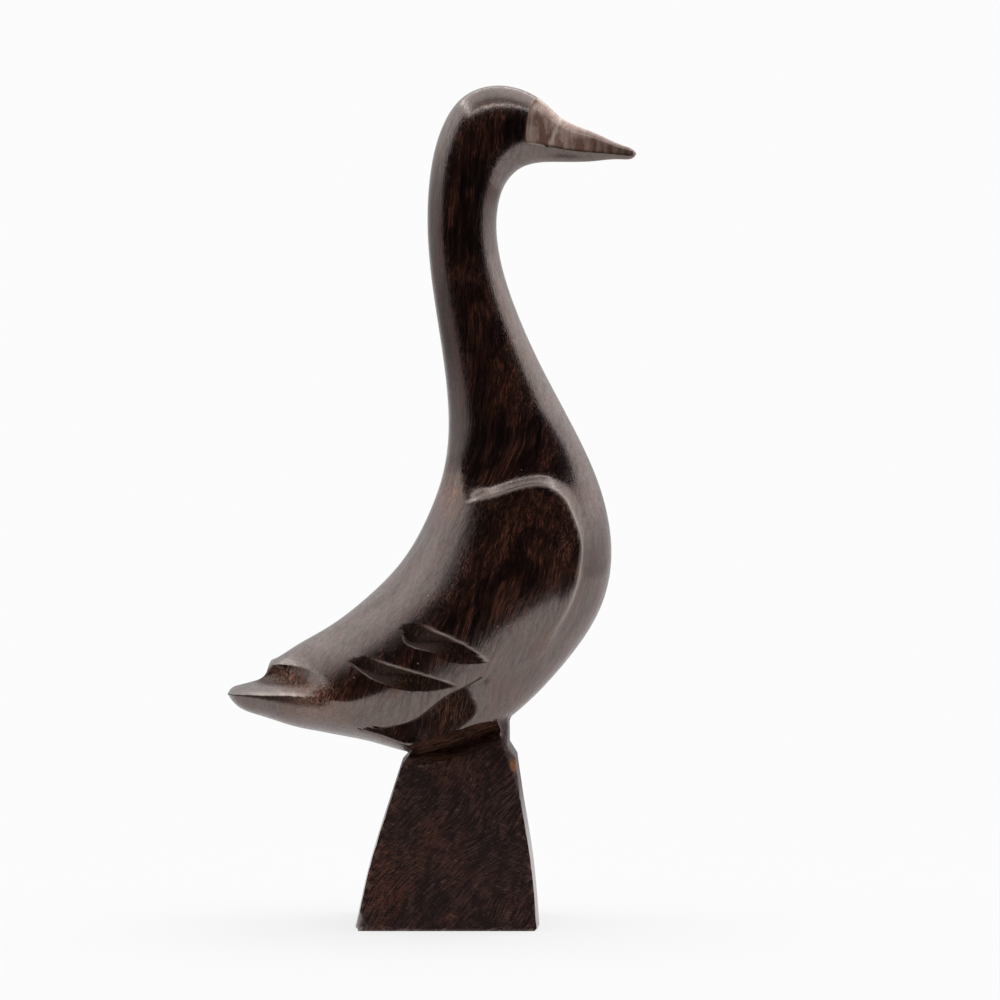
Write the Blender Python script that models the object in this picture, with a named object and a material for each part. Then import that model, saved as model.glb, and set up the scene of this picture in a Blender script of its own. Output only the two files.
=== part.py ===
"""A goose carved in dark ironwood, standing on the rough block that it was cut from."""

import math

import bmesh
import bpy
import numpy as np

MM = 0.001

# The goose's ribs and carved lines are measured from the top of the block
BLOCK_TOP = 56.0 * MM

# Levels of the block from the foot up into the belly, in mm: name, left end across and up,
# right end across and up, width; the foot is centred on the origin
BLOCK_LEVELS = (
    ("foot", -31.3, 0.0, 31.3, 0.0, 56.0),
    ("lower block", -26.4, 24.4, 29.1, 24.4, 50.2),
    ("upper block", -21.4, 41.7, 27.2, 41.7, 46.4),
    ("shoulder", -15.9, 57.4, 24.8, 59.3, 43.0),
    ("foot of the waist", -12.4, 61.4, 22.1, 63.6, 38.0),
    ("waist in the belly", -11.5, 70.0, 22.0, 84.0, 34.0),
)
CORNER_CHAMFER = 1.5 * MM
FOOT_CHAMFER = 0.8 * MM

# Ribs of the goose from bill to tail, in mm from the top of the block: name, the outer (crown
# and back) end across and up, the inner (throat and belly) end across and up, the half
# thickness, how round the side is toward each end (1 is an ellipse, less is flatter), and how
# far the back is planed to a bevel (0 to 1)
RIBS = (
    ("bill tip", 66.9, 215.8, 66.9, 215.8, 0.0, 1.0, 1.0, 0.0),
    ("bill end", 66.2, 216.8, 66.2, 214.7, 1.1, 1.0, 1.0, 0.0),
    ("bill nail", 62.9, 218.5, 61.9, 213.8, 2.6, 1.0, 1.0, 0.0),
    ("bill middle", 51.9, 223.3, 51.2, 213.1, 4.4, 1.0, 1.0, 0.0),
    ("bill root", 39.9, 228.8, 38.5, 212.9, 6.6, 1.0, 1.0, 0.0),
    ("lore", 34.9, 233.4, 32.8, 212.7, 8.0, 1.0, 1.0, 0.0),
    ("brow", 29.3, 237.2, 27.8, 211.6, 9.4, 1.0, 1.0, 0.0),
    ("crown", 18.6, 239.9, 22.9, 208.3, 10.9, 0.95, 0.95, 0.0),
    ("back of the head", 6.6, 236.6, 19.7, 203.5, 11.6, 0.95, 0.95, 0.0),
    ("nape", -1.6, 225.8, 17.9, 197.1, 11.7, 1.0, 1.0, 0.0),
    ("neck top", -5.9, 209.9, 17.4, 188.6, 11.7, 1.0, 1.0, 0.0),
    ("upper neck", -7.1, 192.1, 19.0, 177.2, 11.8, 1.0, 1.0, 0.0),
    ("middle of the neck", -5.1, 167.3, 25.4, 157.7, 12.6, 1.0, 1.0, 0.1),
    ("lower neck", -1.4, 142.5, 34.9, 137.2, 14.2, 1.0, 1.0, 0.4),
    ("neck foot", 0.4, 121.2, 45.2, 117.7, 17.0, 0.95, 0.95, 0.8),
    ("shoulder", -1.4, 103.5, 54.4, 96.4, 21.0, 0.9, 0.9, 1.0),
    ("breast", -6.2, 89.3, 58.0, 76.9, 24.8, 0.85, 0.85, 1.0),
    ("upper flank", -15.1, 73.0, 54.8, 56.7, 27.6, 0.82, 0.82, 1.0),
    ("flank", -29.3, 58.1, 41.3, 35.4, 28.4, 0.8, 0.76, 1.0),
    ("belly", -43.4, 47.6, 16.4, 12.6, 27.6, 0.8, 0.42, 1.0),
    ("thigh", -54.1, 41.4, -9.0, 4.0, 25.4, 0.82, 0.45, 1.0),
    ("vent", -60.8, 37.3, -27.5, 8.1, 22.2, 0.85, 0.7, 0.9),
    ("wing tips", -63.1, 35.2, -39.9, 10.4, 19.0, 0.9, 0.85, 0.7),
    ("tail notch", -64.5, 31.5, -45.9, 11.5, 16.6, 0.95, 0.95, 0.4),
    ("tail root", -69.0, 29.0, -54.4, 13.2, 14.0, 1.0, 1.0, 0.1),
    ("tail middle", -73.6, 27.8, -65.8, 16.8, 11.0, 1.0, 1.0, 0.0),
    ("tail end", -76.8, 26.3, -74.6, 20.6, 6.6, 1.0, 1.0, 0.0),
    ("tail tip", -77.9, 24.5, -77.9, 24.5, 0.0, 1.0, 1.0, 0.0),
)

# Carved lines on each side, as (across, up) points in mm from the top of the block
WING_EDGE = (
    (5.4, 92.1), (11.0, 93.4), (16.8, 94.6), (23.8, 97.0), (32.5, 98.4), (37.0, 97.0),
    (41.2, 93.5), (43.9, 88.3), (46.4, 81.4), (47.1, 75.5), (46.0, 66.8), (43.9, 59.1),
    (40.5, 52.2), (35.9, 44.3), (33.6, 40.1), (30.3, 36.8),
)
THIGH_EDGE = ((14.5, 33.3), (12.3, 32.1), (4.7, 27.9), (-1.6, 24.5), (-11.3, 17.2), (-23.1, 14.3))
UPPER_FEATHER_TOP = (
    (-15.3, 49.5), (-13.0, 50.3), (-8.8, 49.9), (-0.8, 46.7), (8.2, 42.2), (14.8, 36.8),
)
UPPER_FEATHER_FOOT = (
    (-15.3, 49.5), (-15.4, 46.2), (-14.0, 43.2), (-6.7, 40.8), (-0.8, 38.2), (5.1, 36.7), (14.8, 36.8),
)
LOWER_FEATHER_TOP = (
    (-33.5, 36.9), (-29.3, 38.7), (-23.7, 37.5), (-9.9, 33.5), (4.0, 29.0),
)
LOWER_FEATHER_FOOT = (
    (-33.5, 36.9), (-31.0, 34.5), (-26.8, 31.7), (-20.3, 28.8), (-13.0, 27.3), (-3.5, 27.4), (4.0, 29.0),
)
TAIL_RIDGE = ((-77.6, 24.8), (-60.8, 24.8), (-43.3, 24.8))
TAIL_HOLLOW_RIM = (
    (-78.0, 32.0), (-71.0, 32.4), (-65.5, 33.6), (-62.0, 35.1), (-56.7, 35.4), (-50.3, 34.5),
    (-46.5, 32.7), (-44.1, 29.3), (-43.3, 24.8),
)
CHEEK_EDGE = (
    (31.5, 235.7), (30.3, 233.5), (29.0, 230.9), (28.1, 226.9), (27.7, 221.6), (28.3, 218.2),
    (30.2, 216.1), (33.3, 215.3),
)
BILL_BASE = ((40.3, 228.8), (35.9, 217.1))

# A soft fold that joins the wing's edge to the thigh's
SOFT_FOLD = ((35.2, 43.2), (30.7, 38.0), (23.8, 34.9), (16.8, 33.5), (9.2, 30.8))

# Depths and widths of the carving
BACK_BEVEL_SLOPE = 0.85
BACK_BEVEL_ROUND = 6.0 * MM
BACK_BEVEL_BLEND = 3.0 * MM
WING_STEP_DEPTH = 3.2 * MM
WING_STEP_WIDTH = 4.8 * MM
WING_WALL = 0.6 * MM
WING_WALL_SHARE = 0.4
WING_RUNOUT = 26.0 * MM
BREAST_STEP_SHARE = 0.7
THIGH_WALL = 0.7 * MM
THIGH_FACET_HEIGHT = 23.2 * MM
THIGH_FACET_TURN = 0.14
THIGH_FACET_LEAN = 0.02
SOFT_FOLD_DEPTH = 0.9 * MM
SOFT_FOLD_WALL = 3.5 * MM
SOFT_FOLD_WIDTH = 13.0 * MM
FEATHER_TOP_SLOPE = 0.95
FEATHER_FOOT_SLOPE = 0.62
TAIL_RIM_WALL = 1.4 * MM
TAIL_RIM_FADE = 9.0 * MM
TAIL_ROOT = (-62.0 * MM, -46.0 * MM)
CHEEK_WALL = 0.7 * MM
CHEEK_SCOOP_DEPTH = 1.0 * MM
BILL_EDGE_SHARE = 0.735
BILL_SIDE_LEAN = 0.28
BILL_NARROWING = 0.86
HEAD_RISE = 210.0 * MM

# The gouged channel between belly and block, as stations from its open end to its blind one:
# across, lower lip, upper lip (mm above the foot) and depth
CHANNEL = (
    (-18.0, 56.8, 62.0, 4.0),
    (-12.0, 57.8, 64.0, 5.0),
    (-5.8, 58.5, 65.6, 6.5),
    (0.5, 59.4, 67.0, 7.5),
    (5.7, 60.6, 68.4, 8.5),
    (11.6, 62.8, 70.7, 9.5),
    (15.1, 64.3, 72.1, 9.0),
    (17.6, 65.5, 72.7, 7.0),
)
CHANNEL_END = (20.0, 69.4)
CHANNEL_APEX_SHARE = 0.36
CHANNEL_MOUTH = 24.0 * MM
CHANNEL_FACE = 20.0 * MM

# Knocked corners of the block: corner, the way that the break faces, and how deep it goes
BREAKS = (
    ((24.8, -21.5, 59.3), (1.0, -1.0, 0.45), 2.6),
    ((-31.3, -28.0, 0.0), (-1.0, -1.0, -0.5), 3.6),
)

# Fineness of the goose's skin
STATION_STEP = 4.4 * MM
SIDE_ROWS = 25
SPOT_SCALE = 20.0 * MM


def natural_spline(knots, values):
    """Second derivatives of the smoothest curve through the values at the knots."""
    gaps = np.diff(knots)
    slopes = np.diff(values, axis=0) / gaps[:, None]
    count = len(knots)
    system = np.eye(count)
    right = np.zeros_like(values)
    for i in range(1, count - 1):
        system[i, i - 1] = gaps[i - 1]
        system[i, i] = 2 * (gaps[i - 1] + gaps[i])
        system[i, i + 1] = gaps[i]
        right[i] = 6 * (slopes[i] - slopes[i - 1])
    return np.linalg.solve(system, right)


def spline_at(knots, values, bends, places):
    """The curve's values at any places along its knots."""
    i = np.clip(np.searchsorted(knots, places) - 1, 0, len(knots) - 2)
    gap = knots[i + 1] - knots[i]
    after = ((places - knots[i]) / gap)[:, None]
    before = 1 - after
    bend = (before**3 - before) * bends[i] + (after**3 - after) * bends[i + 1]
    return before * values[i] + after * values[i + 1] + bend * (gap**2 / 6)[:, None]


class CarvedLine:
    """A smooth line seen from the side, to measure how far any place lies from it."""

    def __init__(self, points, samples=90):
        points = np.array(points) * MM
        points[:, 1] += BLOCK_TOP
        lengths = np.linalg.norm(np.diff(points, axis=0), axis=1)
        knots = np.concatenate([[0], np.cumsum(np.sqrt(lengths))])
        places = np.linspace(0, knots[-1], samples)
        self.points = spline_at(knots, points, natural_spline(knots, points), places)
        steps = np.linalg.norm(np.diff(self.points, axis=0), axis=1)
        self.along = np.concatenate([[0], np.cumsum(steps)]) / steps.sum()

    def offset(self, places):
        """Distance to the left of the line, and the share of the line passed there."""
        start = self.points[:-1]
        step = self.points[1:] - start
        reach = places[:, None, :] - start[None]
        share = (reach * step).sum(2) / (step**2).sum(1)
        share = np.clip(share, 0, 1)
        away = reach - share[:, :, None] * step
        squares = (away**2).sum(2)
        nearest = squares.argmin(1)
        row = np.arange(len(places))
        side = step[nearest, 0] * reach[row, nearest, 1] - step[nearest, 1] * reach[row, nearest, 0]
        distance = np.sqrt(squares[row, nearest]) * np.where(side < 0, -1, 1)
        passed = self.along[nearest] + share[row, nearest] * np.diff(self.along)[nearest]
        return distance, passed


def ramp(value, start, end):
    """A soft rise from 0 at the start to 1 at the end."""
    share = np.clip((value - start) / (end - start), 0, 1)
    return share * share * (3 - 2 * share)


def soft_least(first, second, blend):
    """The lesser of two heights, with the crossing rounded over the blend."""
    share = np.clip(0.5 + 0.5 * (second - first) / blend, 0, 1)
    return second * (1 - share) + first * share - blend * share * (1 - share)


def concave_step(distance, width):
    """A drop beside a crest: a short steep wall, then a cove that is level where the width ends."""
    wall = np.clip(distance / WING_WALL, 0, 1)
    left = np.clip(1 - distance / width, 0, 1)
    return wall * WING_WALL_SHARE + (1 - left**2) * (1 - WING_WALL_SHARE)


class GooseForm:
    """The goose's side as a height over its outline, with every carved line."""

    def __init__(self):
        table = np.array([rib[1:] for rib in RIBS])
        table[:, [1, 3]] += BLOCK_TOP / MM
        table[:, :5] *= MM
        middles = (table[:, 0:2] + table[:, 2:4]) / 2
        outer = np.linalg.norm(np.diff(table[:, 0:2], axis=0), axis=1)
        inner = np.linalg.norm(np.diff(table[:, 2:4], axis=0), axis=1)
        centre = np.linalg.norm(np.diff(middles, axis=0), axis=1)
        self.knots = np.concatenate([[0], np.cumsum((outer + inner + centre) / 3)])
        self.reaches = np.maximum(outer, inner)
        self.table = table
        self.bends = natural_spline(self.knots, table)
        self.length = self.knots[-1]
        self.wing = CarvedLine(WING_EDGE)
        self.thigh = CarvedLine(THIGH_EDGE)
        self.fold = CarvedLine(SOFT_FOLD)
        self.feathers = [
            (CarvedLine(UPPER_FEATHER_TOP), CarvedLine(UPPER_FEATHER_FOOT)),
            (CarvedLine(LOWER_FEATHER_TOP), CarvedLine(LOWER_FEATHER_FOOT)),
        ]
        self.ridge = CarvedLine(TAIL_RIDGE)
        self.rim = CarvedLine(TAIL_HOLLOW_RIM)
        self.cheek = CarvedLine(CHEEK_EDGE)
        self.base = CarvedLine(BILL_BASE)

    def rib_at(self, spots):
        return spline_at(self.knots, self.table, self.bends, spots[:, 0])

    def places(self, spots):
        """Where spots of the skin (length passed, turn around the rib) lie in the side view."""
        rib = self.rib_at(spots)
        share = ((1 - np.cos(spots[:, 1])) / 2)[:, None]
        return rib[:, 0:2] * (1 - share) + rib[:, 2:4] * share

    def heights(self, spots):
        """How far the carved side stands out from the middle plane."""
        rib = self.rib_at(spots)
        places = self.places(spots)
        turn = np.clip(np.sin(spots[:, 1]), 0, 1)
        share = (1 - np.cos(spots[:, 1])) / 2
        thickness = np.maximum(rib[:, 4], 0)
        roundness = rib[:, 5] + (rib[:, 6] - rib[:, 5]) * ramp(share, 0.35, 0.65)
        height = thickness * turn**roundness
        height = self.back_bevel(rib, share, height)
        height = self.shape_bill(places, share, thickness, height)
        height = self.tail_form(rib, places, share, height)
        height = self.thigh_facet(places, height)
        cut = self.wing_step(places) + self.soft_fold(places)
        for pair in self.feathers:
            cut = cut + self.feather_cut(pair, places)
        height = height - cut * ramp(height, 0, 7 * MM)
        return np.maximum(height, 0)

    def back_bevel(self, rib, share, height):
        """Planes the back down beside its ridge, as on the wings of the carving."""
        length = np.hypot(rib[:, 2] - rib[:, 0], rib[:, 3] - rib[:, 1])
        passed = share * length
        bevel = np.sqrt((BACK_BEVEL_SLOPE * passed) ** 2 + 2 * BACK_BEVEL_ROUND * passed)
        bevel = bevel + (1 - np.clip(rib[:, 7], 0, 1)) * 25 * MM
        return np.maximum(soft_least(height, bevel, BACK_BEVEL_BLEND * ramp(passed, 0, 8 * MM) + 1e-6), 0)

    def shape_bill(self, places, share, thickness, height):
        """In front of the cheek the round head gives way to the bill's flat sides."""
        above = np.clip(1 - share / BILL_EDGE_SHARE, 0, 1)
        below = np.clip((share - BILL_EDGE_SHARE) / (1 - BILL_EDGE_SHARE), 0, 1)
        flat = (1 - BILL_SIDE_LEAN * above) * np.sqrt(1 - above**6) * (1 - below) ** 0.6
        cheek = self.cheek.offset(places)[0]
        base = self.base.offset(places)[0]
        across = np.clip(cheek / np.maximum(cheek - base, 0.01 * MM), 0, 1)
        scoop = CHEEK_SCOOP_DEPTH * (1 - across) * turn_in(share)
        bill = thickness * BILL_NARROWING * flat - np.where(base < 0, scoop, 0)
        behind_wall = np.clip(cheek / CHEEK_WALL, 0, 1)
        under_chin = ramp(places[:, 0], 30 * MM, 40 * MM)
        front = np.where(share < BILL_EDGE_SHARE, np.maximum(behind_wall, under_chin), under_chin)
        front = np.where(self.on_head(places), front, 0)
        return height * (1 - front) + np.maximum(bill, 0) * front

    def on_head(self, places):
        return places[:, 1] > BLOCK_TOP + HEAD_RISE

    def on_tail(self, places):
        """How far inside the tail's hollow each place lies: 0 at its rim and outside it."""
        ridge = self.ridge.offset(places)[0]
        rim = self.rim.offset(places)[0]
        inside = (ridge > 0) & (rim < 0) & (places[:, 0] < TAIL_RIDGE[-1][0] * MM)
        wall = TAIL_RIM_WALL + TAIL_RIM_FADE * ramp(places[:, 0], *TAIL_ROOT)
        return np.where(inside, np.clip(-rim / wall, 0, 1), 0)

    def tail_form(self, rib, places, share, height):
        """The tail's side comes to a crisp ridge: gouged flat above it, rounded below it."""
        crossing = (rib[:, 1] - BLOCK_TOP - TAIL_RIDGE[0][1] * MM) / np.maximum(rib[:, 1] - rib[:, 3], MM)
        crossing = np.clip(crossing, 0.1, 0.9)
        thickness = np.maximum(rib[:, 4], 0)
        tail = 1 - ramp(places[:, 0], *TAIL_ROOT)
        crest = 2 * np.sqrt(crossing * (1 - crossing))
        crest = thickness * (crest + (1 - crest) * tail)
        below = np.clip((share - crossing) / (1 - crossing), 0, 1)
        side = np.where(share > crossing, crest * np.sqrt(1 - below**2.6), height)
        height = height + (side - height) * tail
        return height + (crest * share / crossing - height) * self.on_tail(places)

    def wing_step(self, places):
        distance, passed = self.wing.offset(places)
        narrowing = 1 - (1 - BREAST_STEP_SHARE) * ramp(passed, 0.3, 0.5)
        strength = narrowing * ramp(passed, 0, 0.1) * (1 - ramp(passed, 0.88, 1.0))
        width = WING_STEP_WIDTH * narrowing
        runout = 1 - ramp(distance, width, WING_RUNOUT)
        return WING_STEP_DEPTH * strength * concave_step(distance, width) * runout

    def thigh_facet(self, places, height):
        """Below the thigh's edge the side is cut to an upright facet."""
        distance, passed = self.thigh.offset(places)
        strength = ramp(passed, 0, 0.25) * (1 - ramp(passed, 0.75, 1.0))
        reach = places - self.thigh.points[0]
        facet = THIGH_FACET_HEIGHT + reach[:, 0] * THIGH_FACET_TURN - reach[:, 1] * THIGH_FACET_LEAN
        facet = facet + (1 - strength) * 2.5 * MM
        cut = height - soft_least(height, facet, 0.8 * MM)
        return height - cut * np.clip(distance / THIGH_WALL, 0, 1)

    def soft_fold(self, places):
        distance, passed = self.fold.offset(places)
        strength = ramp(passed, 0, 0.3) * (1 - ramp(passed, 0.7, 1.0))
        drop = ramp(distance, -SOFT_FOLD_WALL / 2, SOFT_FOLD_WALL / 2)
        runout = 1 - ramp(distance, SOFT_FOLD_WALL, SOFT_FOLD_WIDTH)
        return SOFT_FOLD_DEPTH * strength * drop * runout

    def feather_cut(self, pair, places):
        top = -pair[0].offset(places)[0]
        foot = pair[1].offset(places)[0]
        cut = np.minimum(top * FEATHER_TOP_SLOPE, foot * FEATHER_FOOT_SLOPE)
        return np.clip(cut, 0, None)

    def crisp_lines(self):
        """Each crisp line, as a measure of spots: a number that changes sign there, and where
        that counts."""

        def beyond(line, shift=0.0):
            def measure(spots):
                distance, passed = line.offset(self.places(spots))
                return distance - shift, (passed > 0.001) & (passed < 0.999)

            return measure

        def valley(pair):
            def measure(spots):
                places = self.places(spots)
                top = -pair[0].offset(places)[0]
                foot = pair[1].offset(places)[0]
                return top * FEATHER_TOP_SLOPE - foot * FEATHER_FOOT_SLOPE, (top > 0) & (foot > 0)

            return measure

        def bill_edge(spots):
            places = self.places(spots)
            cheek = self.cheek.offset(places)[0]
            share = (1 - np.cos(spots[:, 1])) / 2
            return share - BILL_EDGE_SHARE, (cheek > CHEEK_WALL / 2) & self.on_head(places)

        yield beyond(self.wing)
        yield beyond(self.wing, WING_WALL)
        yield beyond(self.thigh)
        yield beyond(self.thigh, THIGH_WALL)
        for pair in self.feathers:
            yield beyond(pair[0])
            yield beyond(pair[1])
            yield valley(pair)
        yield beyond(self.ridge)
        yield beyond(self.rim)
        yield beyond(self.rim, -TAIL_RIM_WALL)
        yield beyond(self.cheek)
        yield beyond(self.cheek, CHEEK_WALL)
        yield beyond(self.base)
        yield bill_edge


def turn_in(share):
    """Fades a cut toward the outline, so that the outline keeps its place."""
    return ramp(share, 0, 0.12) * (1 - ramp(share, 0.7, 0.8))


def spots_of(sheet):
    """Every vertex of the flat sheet as a spot: length passed, turn around the rib."""
    flat = np.array([vertex.co[:2] for vertex in sheet.verts], float)
    flat[:, 1] /= SPOT_SCALE
    return flat


def plain_sheet(form):
    """The goose's side laid flat: a grid of stations and rows, with one vertex at each tip."""
    stations = []
    for start, end, reach in zip(form.knots[:-1], form.knots[1:], form.reaches):
        steps = max(1, round(reach / STATION_STEP))
        stations += [start + (end - start) * i / steps for i in range(steps)]
    stations = stations[1:]
    sheet = bmesh.new()
    columns = []
    for station in stations:
        turns = [math.pi * i / SIDE_ROWS for i in range(SIDE_ROWS + 1)]
        columns.append([sheet.verts.new((station, turn * SPOT_SCALE, 0)) for turn in turns])
    for left, right in zip(columns[:-1], columns[1:]):
        for i in range(SIDE_ROWS):
            sheet.faces.new((left[i], right[i], right[i + 1], left[i + 1]))
    middle = math.pi / 2 * SPOT_SCALE
    first = sheet.verts.new((0, middle, 0))
    last = sheet.verts.new((form.length, middle, 0))
    for i in range(SIDE_ROWS):
        sheet.faces.new((first, columns[0][i], columns[0][i + 1]))
        sheet.faces.new((last, columns[-1][i + 1], columns[-1][i]))
    return sheet


def crossings(sheet, measure):
    """Edges that a crisp line crosses, and the share of each edge where it does."""
    spots = spots_of(sheet)
    values, valid = measure(spots)
    sheet.verts.index_update()
    pairs = np.array([[edge.verts[0].index, edge.verts[1].index] for edge in sheet.edges])
    across = valid[pairs].all(1) & (values[pairs[:, 0]] * values[pairs[:, 1]] < 0)
    sheet.edges.ensure_lookup_table()
    found = [sheet.edges[i] for i in np.flatnonzero(across)]
    starts = spots[pairs[across, 0]]
    steps = spots[pairs[across, 1]] - starts
    sign = np.sign(values[pairs[across, 0]])
    low = np.zeros(len(found))
    high = np.ones(len(found))
    for _ in range(14):
        middle = (low + high) / 2
        same = np.sign(measure(starts + steps * middle[:, None])[0]) == sign
        low = np.where(same, middle, low)
        high = np.where(same, high, middle)
    return list(zip(found, (low + high) / 2))


def score(sheet, measure, marked):
    """Cuts a crisp line into the sheet: near vertices slide onto it, far edges are split."""
    found = crossings(sheet, measure)
    slides = {}
    for edge, share in found:
        near = edge.verts[0] if share < 0.5 else edge.verts[1]
        reach = min(share, 1 - share)
        if reach > 0.24 or near in marked or (near.is_boundary and not edge.is_boundary):
            continue
        if near not in slides or reach < slides[near][0]:
            slides[near] = (reach, edge.verts[0].co.lerp(edge.verts[1].co, share))
    for vertex, (_, spot) in slides.items():
        vertex.co = spot
    touched = set(slides)
    for edge, share in found:
        if edge.verts[0] not in slides and edge.verts[1] not in slides:
            touched.add(bmesh.utils.edge_split(edge, edge.verts[0], share)[1])
    bmesh.ops.connect_verts(sheet, verts=list(touched))
    bmesh.ops.triangulate(sheet, faces=[face for face in sheet.faces if len(face.verts) > 3])
    marked |= touched


def goose_mesh(form):
    """Both carved sides of the goose, sharing the vertices of the outline."""
    sheet = plain_sheet(form)
    bmesh.ops.triangulate(sheet, faces=sheet.faces[:])
    marked = set()
    for measure in form.crisp_lines():
        score(sheet, measure, marked)
    sheet.verts.index_update()
    sheet.verts.ensure_lookup_table()
    spots = spots_of(sheet)
    places = form.places(spots)
    heights = form.heights(spots)
    rim = np.array([vertex.is_boundary for vertex in sheet.verts])
    heights[rim] = 0
    triangles = [[vertex.index for vertex in face.verts] for face in sheet.faces]
    sheet.free()
    far = np.arange(len(spots))
    far[~rim] = len(spots) + np.arange((~rim).sum())
    near_side = np.column_stack([places[:, 0], -heights, places[:, 1]])
    far_side = np.column_stack([places[:, 0], heights, places[:, 1]])[~rim]
    points = np.vstack([near_side, far_side])
    faces = triangles + [[far[i] for i in reversed(face)] for face in triangles]
    mesh = bpy.data.meshes.new("goose")
    mesh.from_pydata(points.tolist(), [], faces)
    mesh.update()
    return mesh


def block_ring(level, inset):
    """One level of the block: a rectangle with cut corners, as eight points."""
    left, left_rise, right, right_rise, width = level
    half = width / 2 - inset
    left, right = left + inset, right - inset
    cut = CORNER_CHAMFER
    ring = (
        (left + cut, -half), (right - cut, -half), (right, -half + cut), (right, half - cut),
        (right - cut, half), (left + cut, half), (left, half - cut), (left, -half + cut),
    )
    slope = (right_rise - left_rise) / (right - left)
    return [(x, y, left_rise + (x - left) * slope) for x, y in ring]


def knock_corner(block, corner, outward, depth):
    """Breaks a corner off the block along a flat face."""
    outward = np.array(outward) / np.linalg.norm(outward)
    place = (np.array(corner) - outward * depth) * MM
    geometry = block.verts[:] + block.edges[:] + block.faces[:]
    cut = bmesh.ops.bisect_plane(
        block, geom=geometry, plane_co=place, plane_no=outward, clear_outer=True
    )
    rim = [piece for piece in cut["geom_cut"] if isinstance(piece, bmesh.types.BMEdge)]
    bmesh.ops.edgeloop_fill(block, edges=rim)


def block_mesh():
    """The rough block under the goose, from its foot up into the belly."""
    levels = np.array([level[1:] for level in BLOCK_LEVELS]) * MM
    rings = [block_ring(levels[0], FOOT_CHAMFER)]
    rings.append([(x, y, FOOT_CHAMFER) for x, y, z in block_ring(levels[0], 0)])
    for level in levels[1:]:
        rings.append(block_ring(level, 0))
    block = bmesh.new()
    rings = [[block.verts.new(point) for point in ring] for ring in rings]
    block.faces.new(list(reversed(rings[0])))
    block.faces.new(rings[-1])
    for lower, upper in zip(rings[:-1], rings[1:]):
        for i in range(len(lower)):
            j = (i + 1) % len(lower)
            block.faces.new((lower[i], lower[j], upper[j], upper[i]))
    for corner, outward, depth in BREAKS:
        knock_corner(block, corner, outward, depth)
    bmesh.ops.triangulate(block, faces=block.faces[:])
    mesh = bpy.data.meshes.new("block")
    block.to_mesh(mesh)
    block.free()
    return mesh


def channel_mesh(side):
    """The gouge's path between belly and block: a wedge with one open end."""
    cutter = bmesh.new()
    rings = []
    for across, low, high, depth in CHANNEL:
        inside = side * (CHANNEL_FACE - depth * MM)
        apex = low + (high - low) * CHANNEL_APEX_SHARE
        flare = (CHANNEL_MOUTH - CHANNEL_FACE) / (depth * MM)
        ring = (
            (across * MM, side * CHANNEL_MOUTH, (low - (apex - low) * flare) * MM),
            (across * MM, inside, apex * MM),
            (across * MM, side * CHANNEL_MOUTH, (high + (high - apex) * flare) * MM),
        )
        rings.append([cutter.verts.new(point) for point in ring])
    for first, second in zip(rings[:-1], rings[1:]):
        for i in range(3):
            j = (i + 1) % 3
            cutter.faces.new((first[i], first[j], second[j], second[i]))
    cutter.faces.new(rings[0])
    across, rise = CHANNEL_END
    end = cutter.verts.new((across * MM, side * CHANNEL_MOUTH, rise * MM))
    for i in range(3):
        cutter.faces.new((rings[-1][(i + 1) % 3], rings[-1][i], end))
    bmesh.ops.recalc_face_normals(cutter, faces=cutter.faces[:])
    bmesh.ops.triangulate(cutter, faces=cutter.faces[:])
    mesh = bpy.data.meshes.new("channel")
    cutter.to_mesh(mesh)
    cutter.free()
    return mesh


def placed(name, mesh):
    thing = bpy.data.objects.new(name, mesh)
    bpy.context.scene.collection.objects.link(thing)
    return thing


def combine(body, tool, operation):
    """Joins or cuts the body with the tool, keeps the result and drops the tool."""
    modifier = body.modifiers.new(operation, "BOOLEAN")
    modifier.operation = operation
    modifier.solver = "EXACT"
    modifier.object = tool
    result = bpy.data.meshes.new_from_object(body.evaluated_get(bpy.context.evaluated_depsgraph_get()))
    body.modifiers.clear()
    body.data = result
    bpy.data.objects.remove(tool, do_unlink=True)


def ironwood():
    """Dark polished heartwood."""
    material = bpy.data.materials.new("ironwood")
    material.use_nodes = True
    surface = material.node_tree.nodes["Principled BSDF"]
    surface.inputs["Base Color"].default_value = (0.035, 0.018, 0.013, 1)
    surface.inputs["Roughness"].default_value = 0.22
    surface.inputs["Metallic"].default_value = 0.0
    return material


def build():
    for thing in list(bpy.data.objects):
        bpy.data.objects.remove(thing, do_unlink=True)
    goose = placed("goose", goose_mesh(GooseForm()))
    combine(goose, placed("block", block_mesh()), "UNION")
    for side in (-1, 1):
        combine(goose, placed("channel", channel_mesh(side)), "DIFFERENCE")
    goose.data.name = "goose"
    goose.data.materials.clear()
    goose.data.materials.append(ironwood())


build()
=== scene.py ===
"""Looks of a polished ironwood goose that stands on the rough block it was cut from."""

import math

import bmesh
import bpy
import numpy as np
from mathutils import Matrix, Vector, kdtree, noise


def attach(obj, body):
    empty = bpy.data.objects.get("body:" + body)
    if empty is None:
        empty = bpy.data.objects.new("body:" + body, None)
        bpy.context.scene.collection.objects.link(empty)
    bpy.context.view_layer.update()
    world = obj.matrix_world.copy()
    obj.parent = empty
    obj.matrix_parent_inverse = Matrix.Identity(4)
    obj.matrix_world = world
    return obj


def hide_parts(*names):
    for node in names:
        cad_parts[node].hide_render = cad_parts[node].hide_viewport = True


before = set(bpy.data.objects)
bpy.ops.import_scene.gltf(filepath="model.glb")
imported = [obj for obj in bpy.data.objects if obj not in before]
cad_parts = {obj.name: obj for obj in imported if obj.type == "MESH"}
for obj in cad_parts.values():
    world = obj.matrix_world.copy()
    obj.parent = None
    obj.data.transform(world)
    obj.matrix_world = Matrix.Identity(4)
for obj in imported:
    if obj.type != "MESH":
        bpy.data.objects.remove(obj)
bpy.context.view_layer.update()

MM = 0.001
TINY = 0.000001

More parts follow.
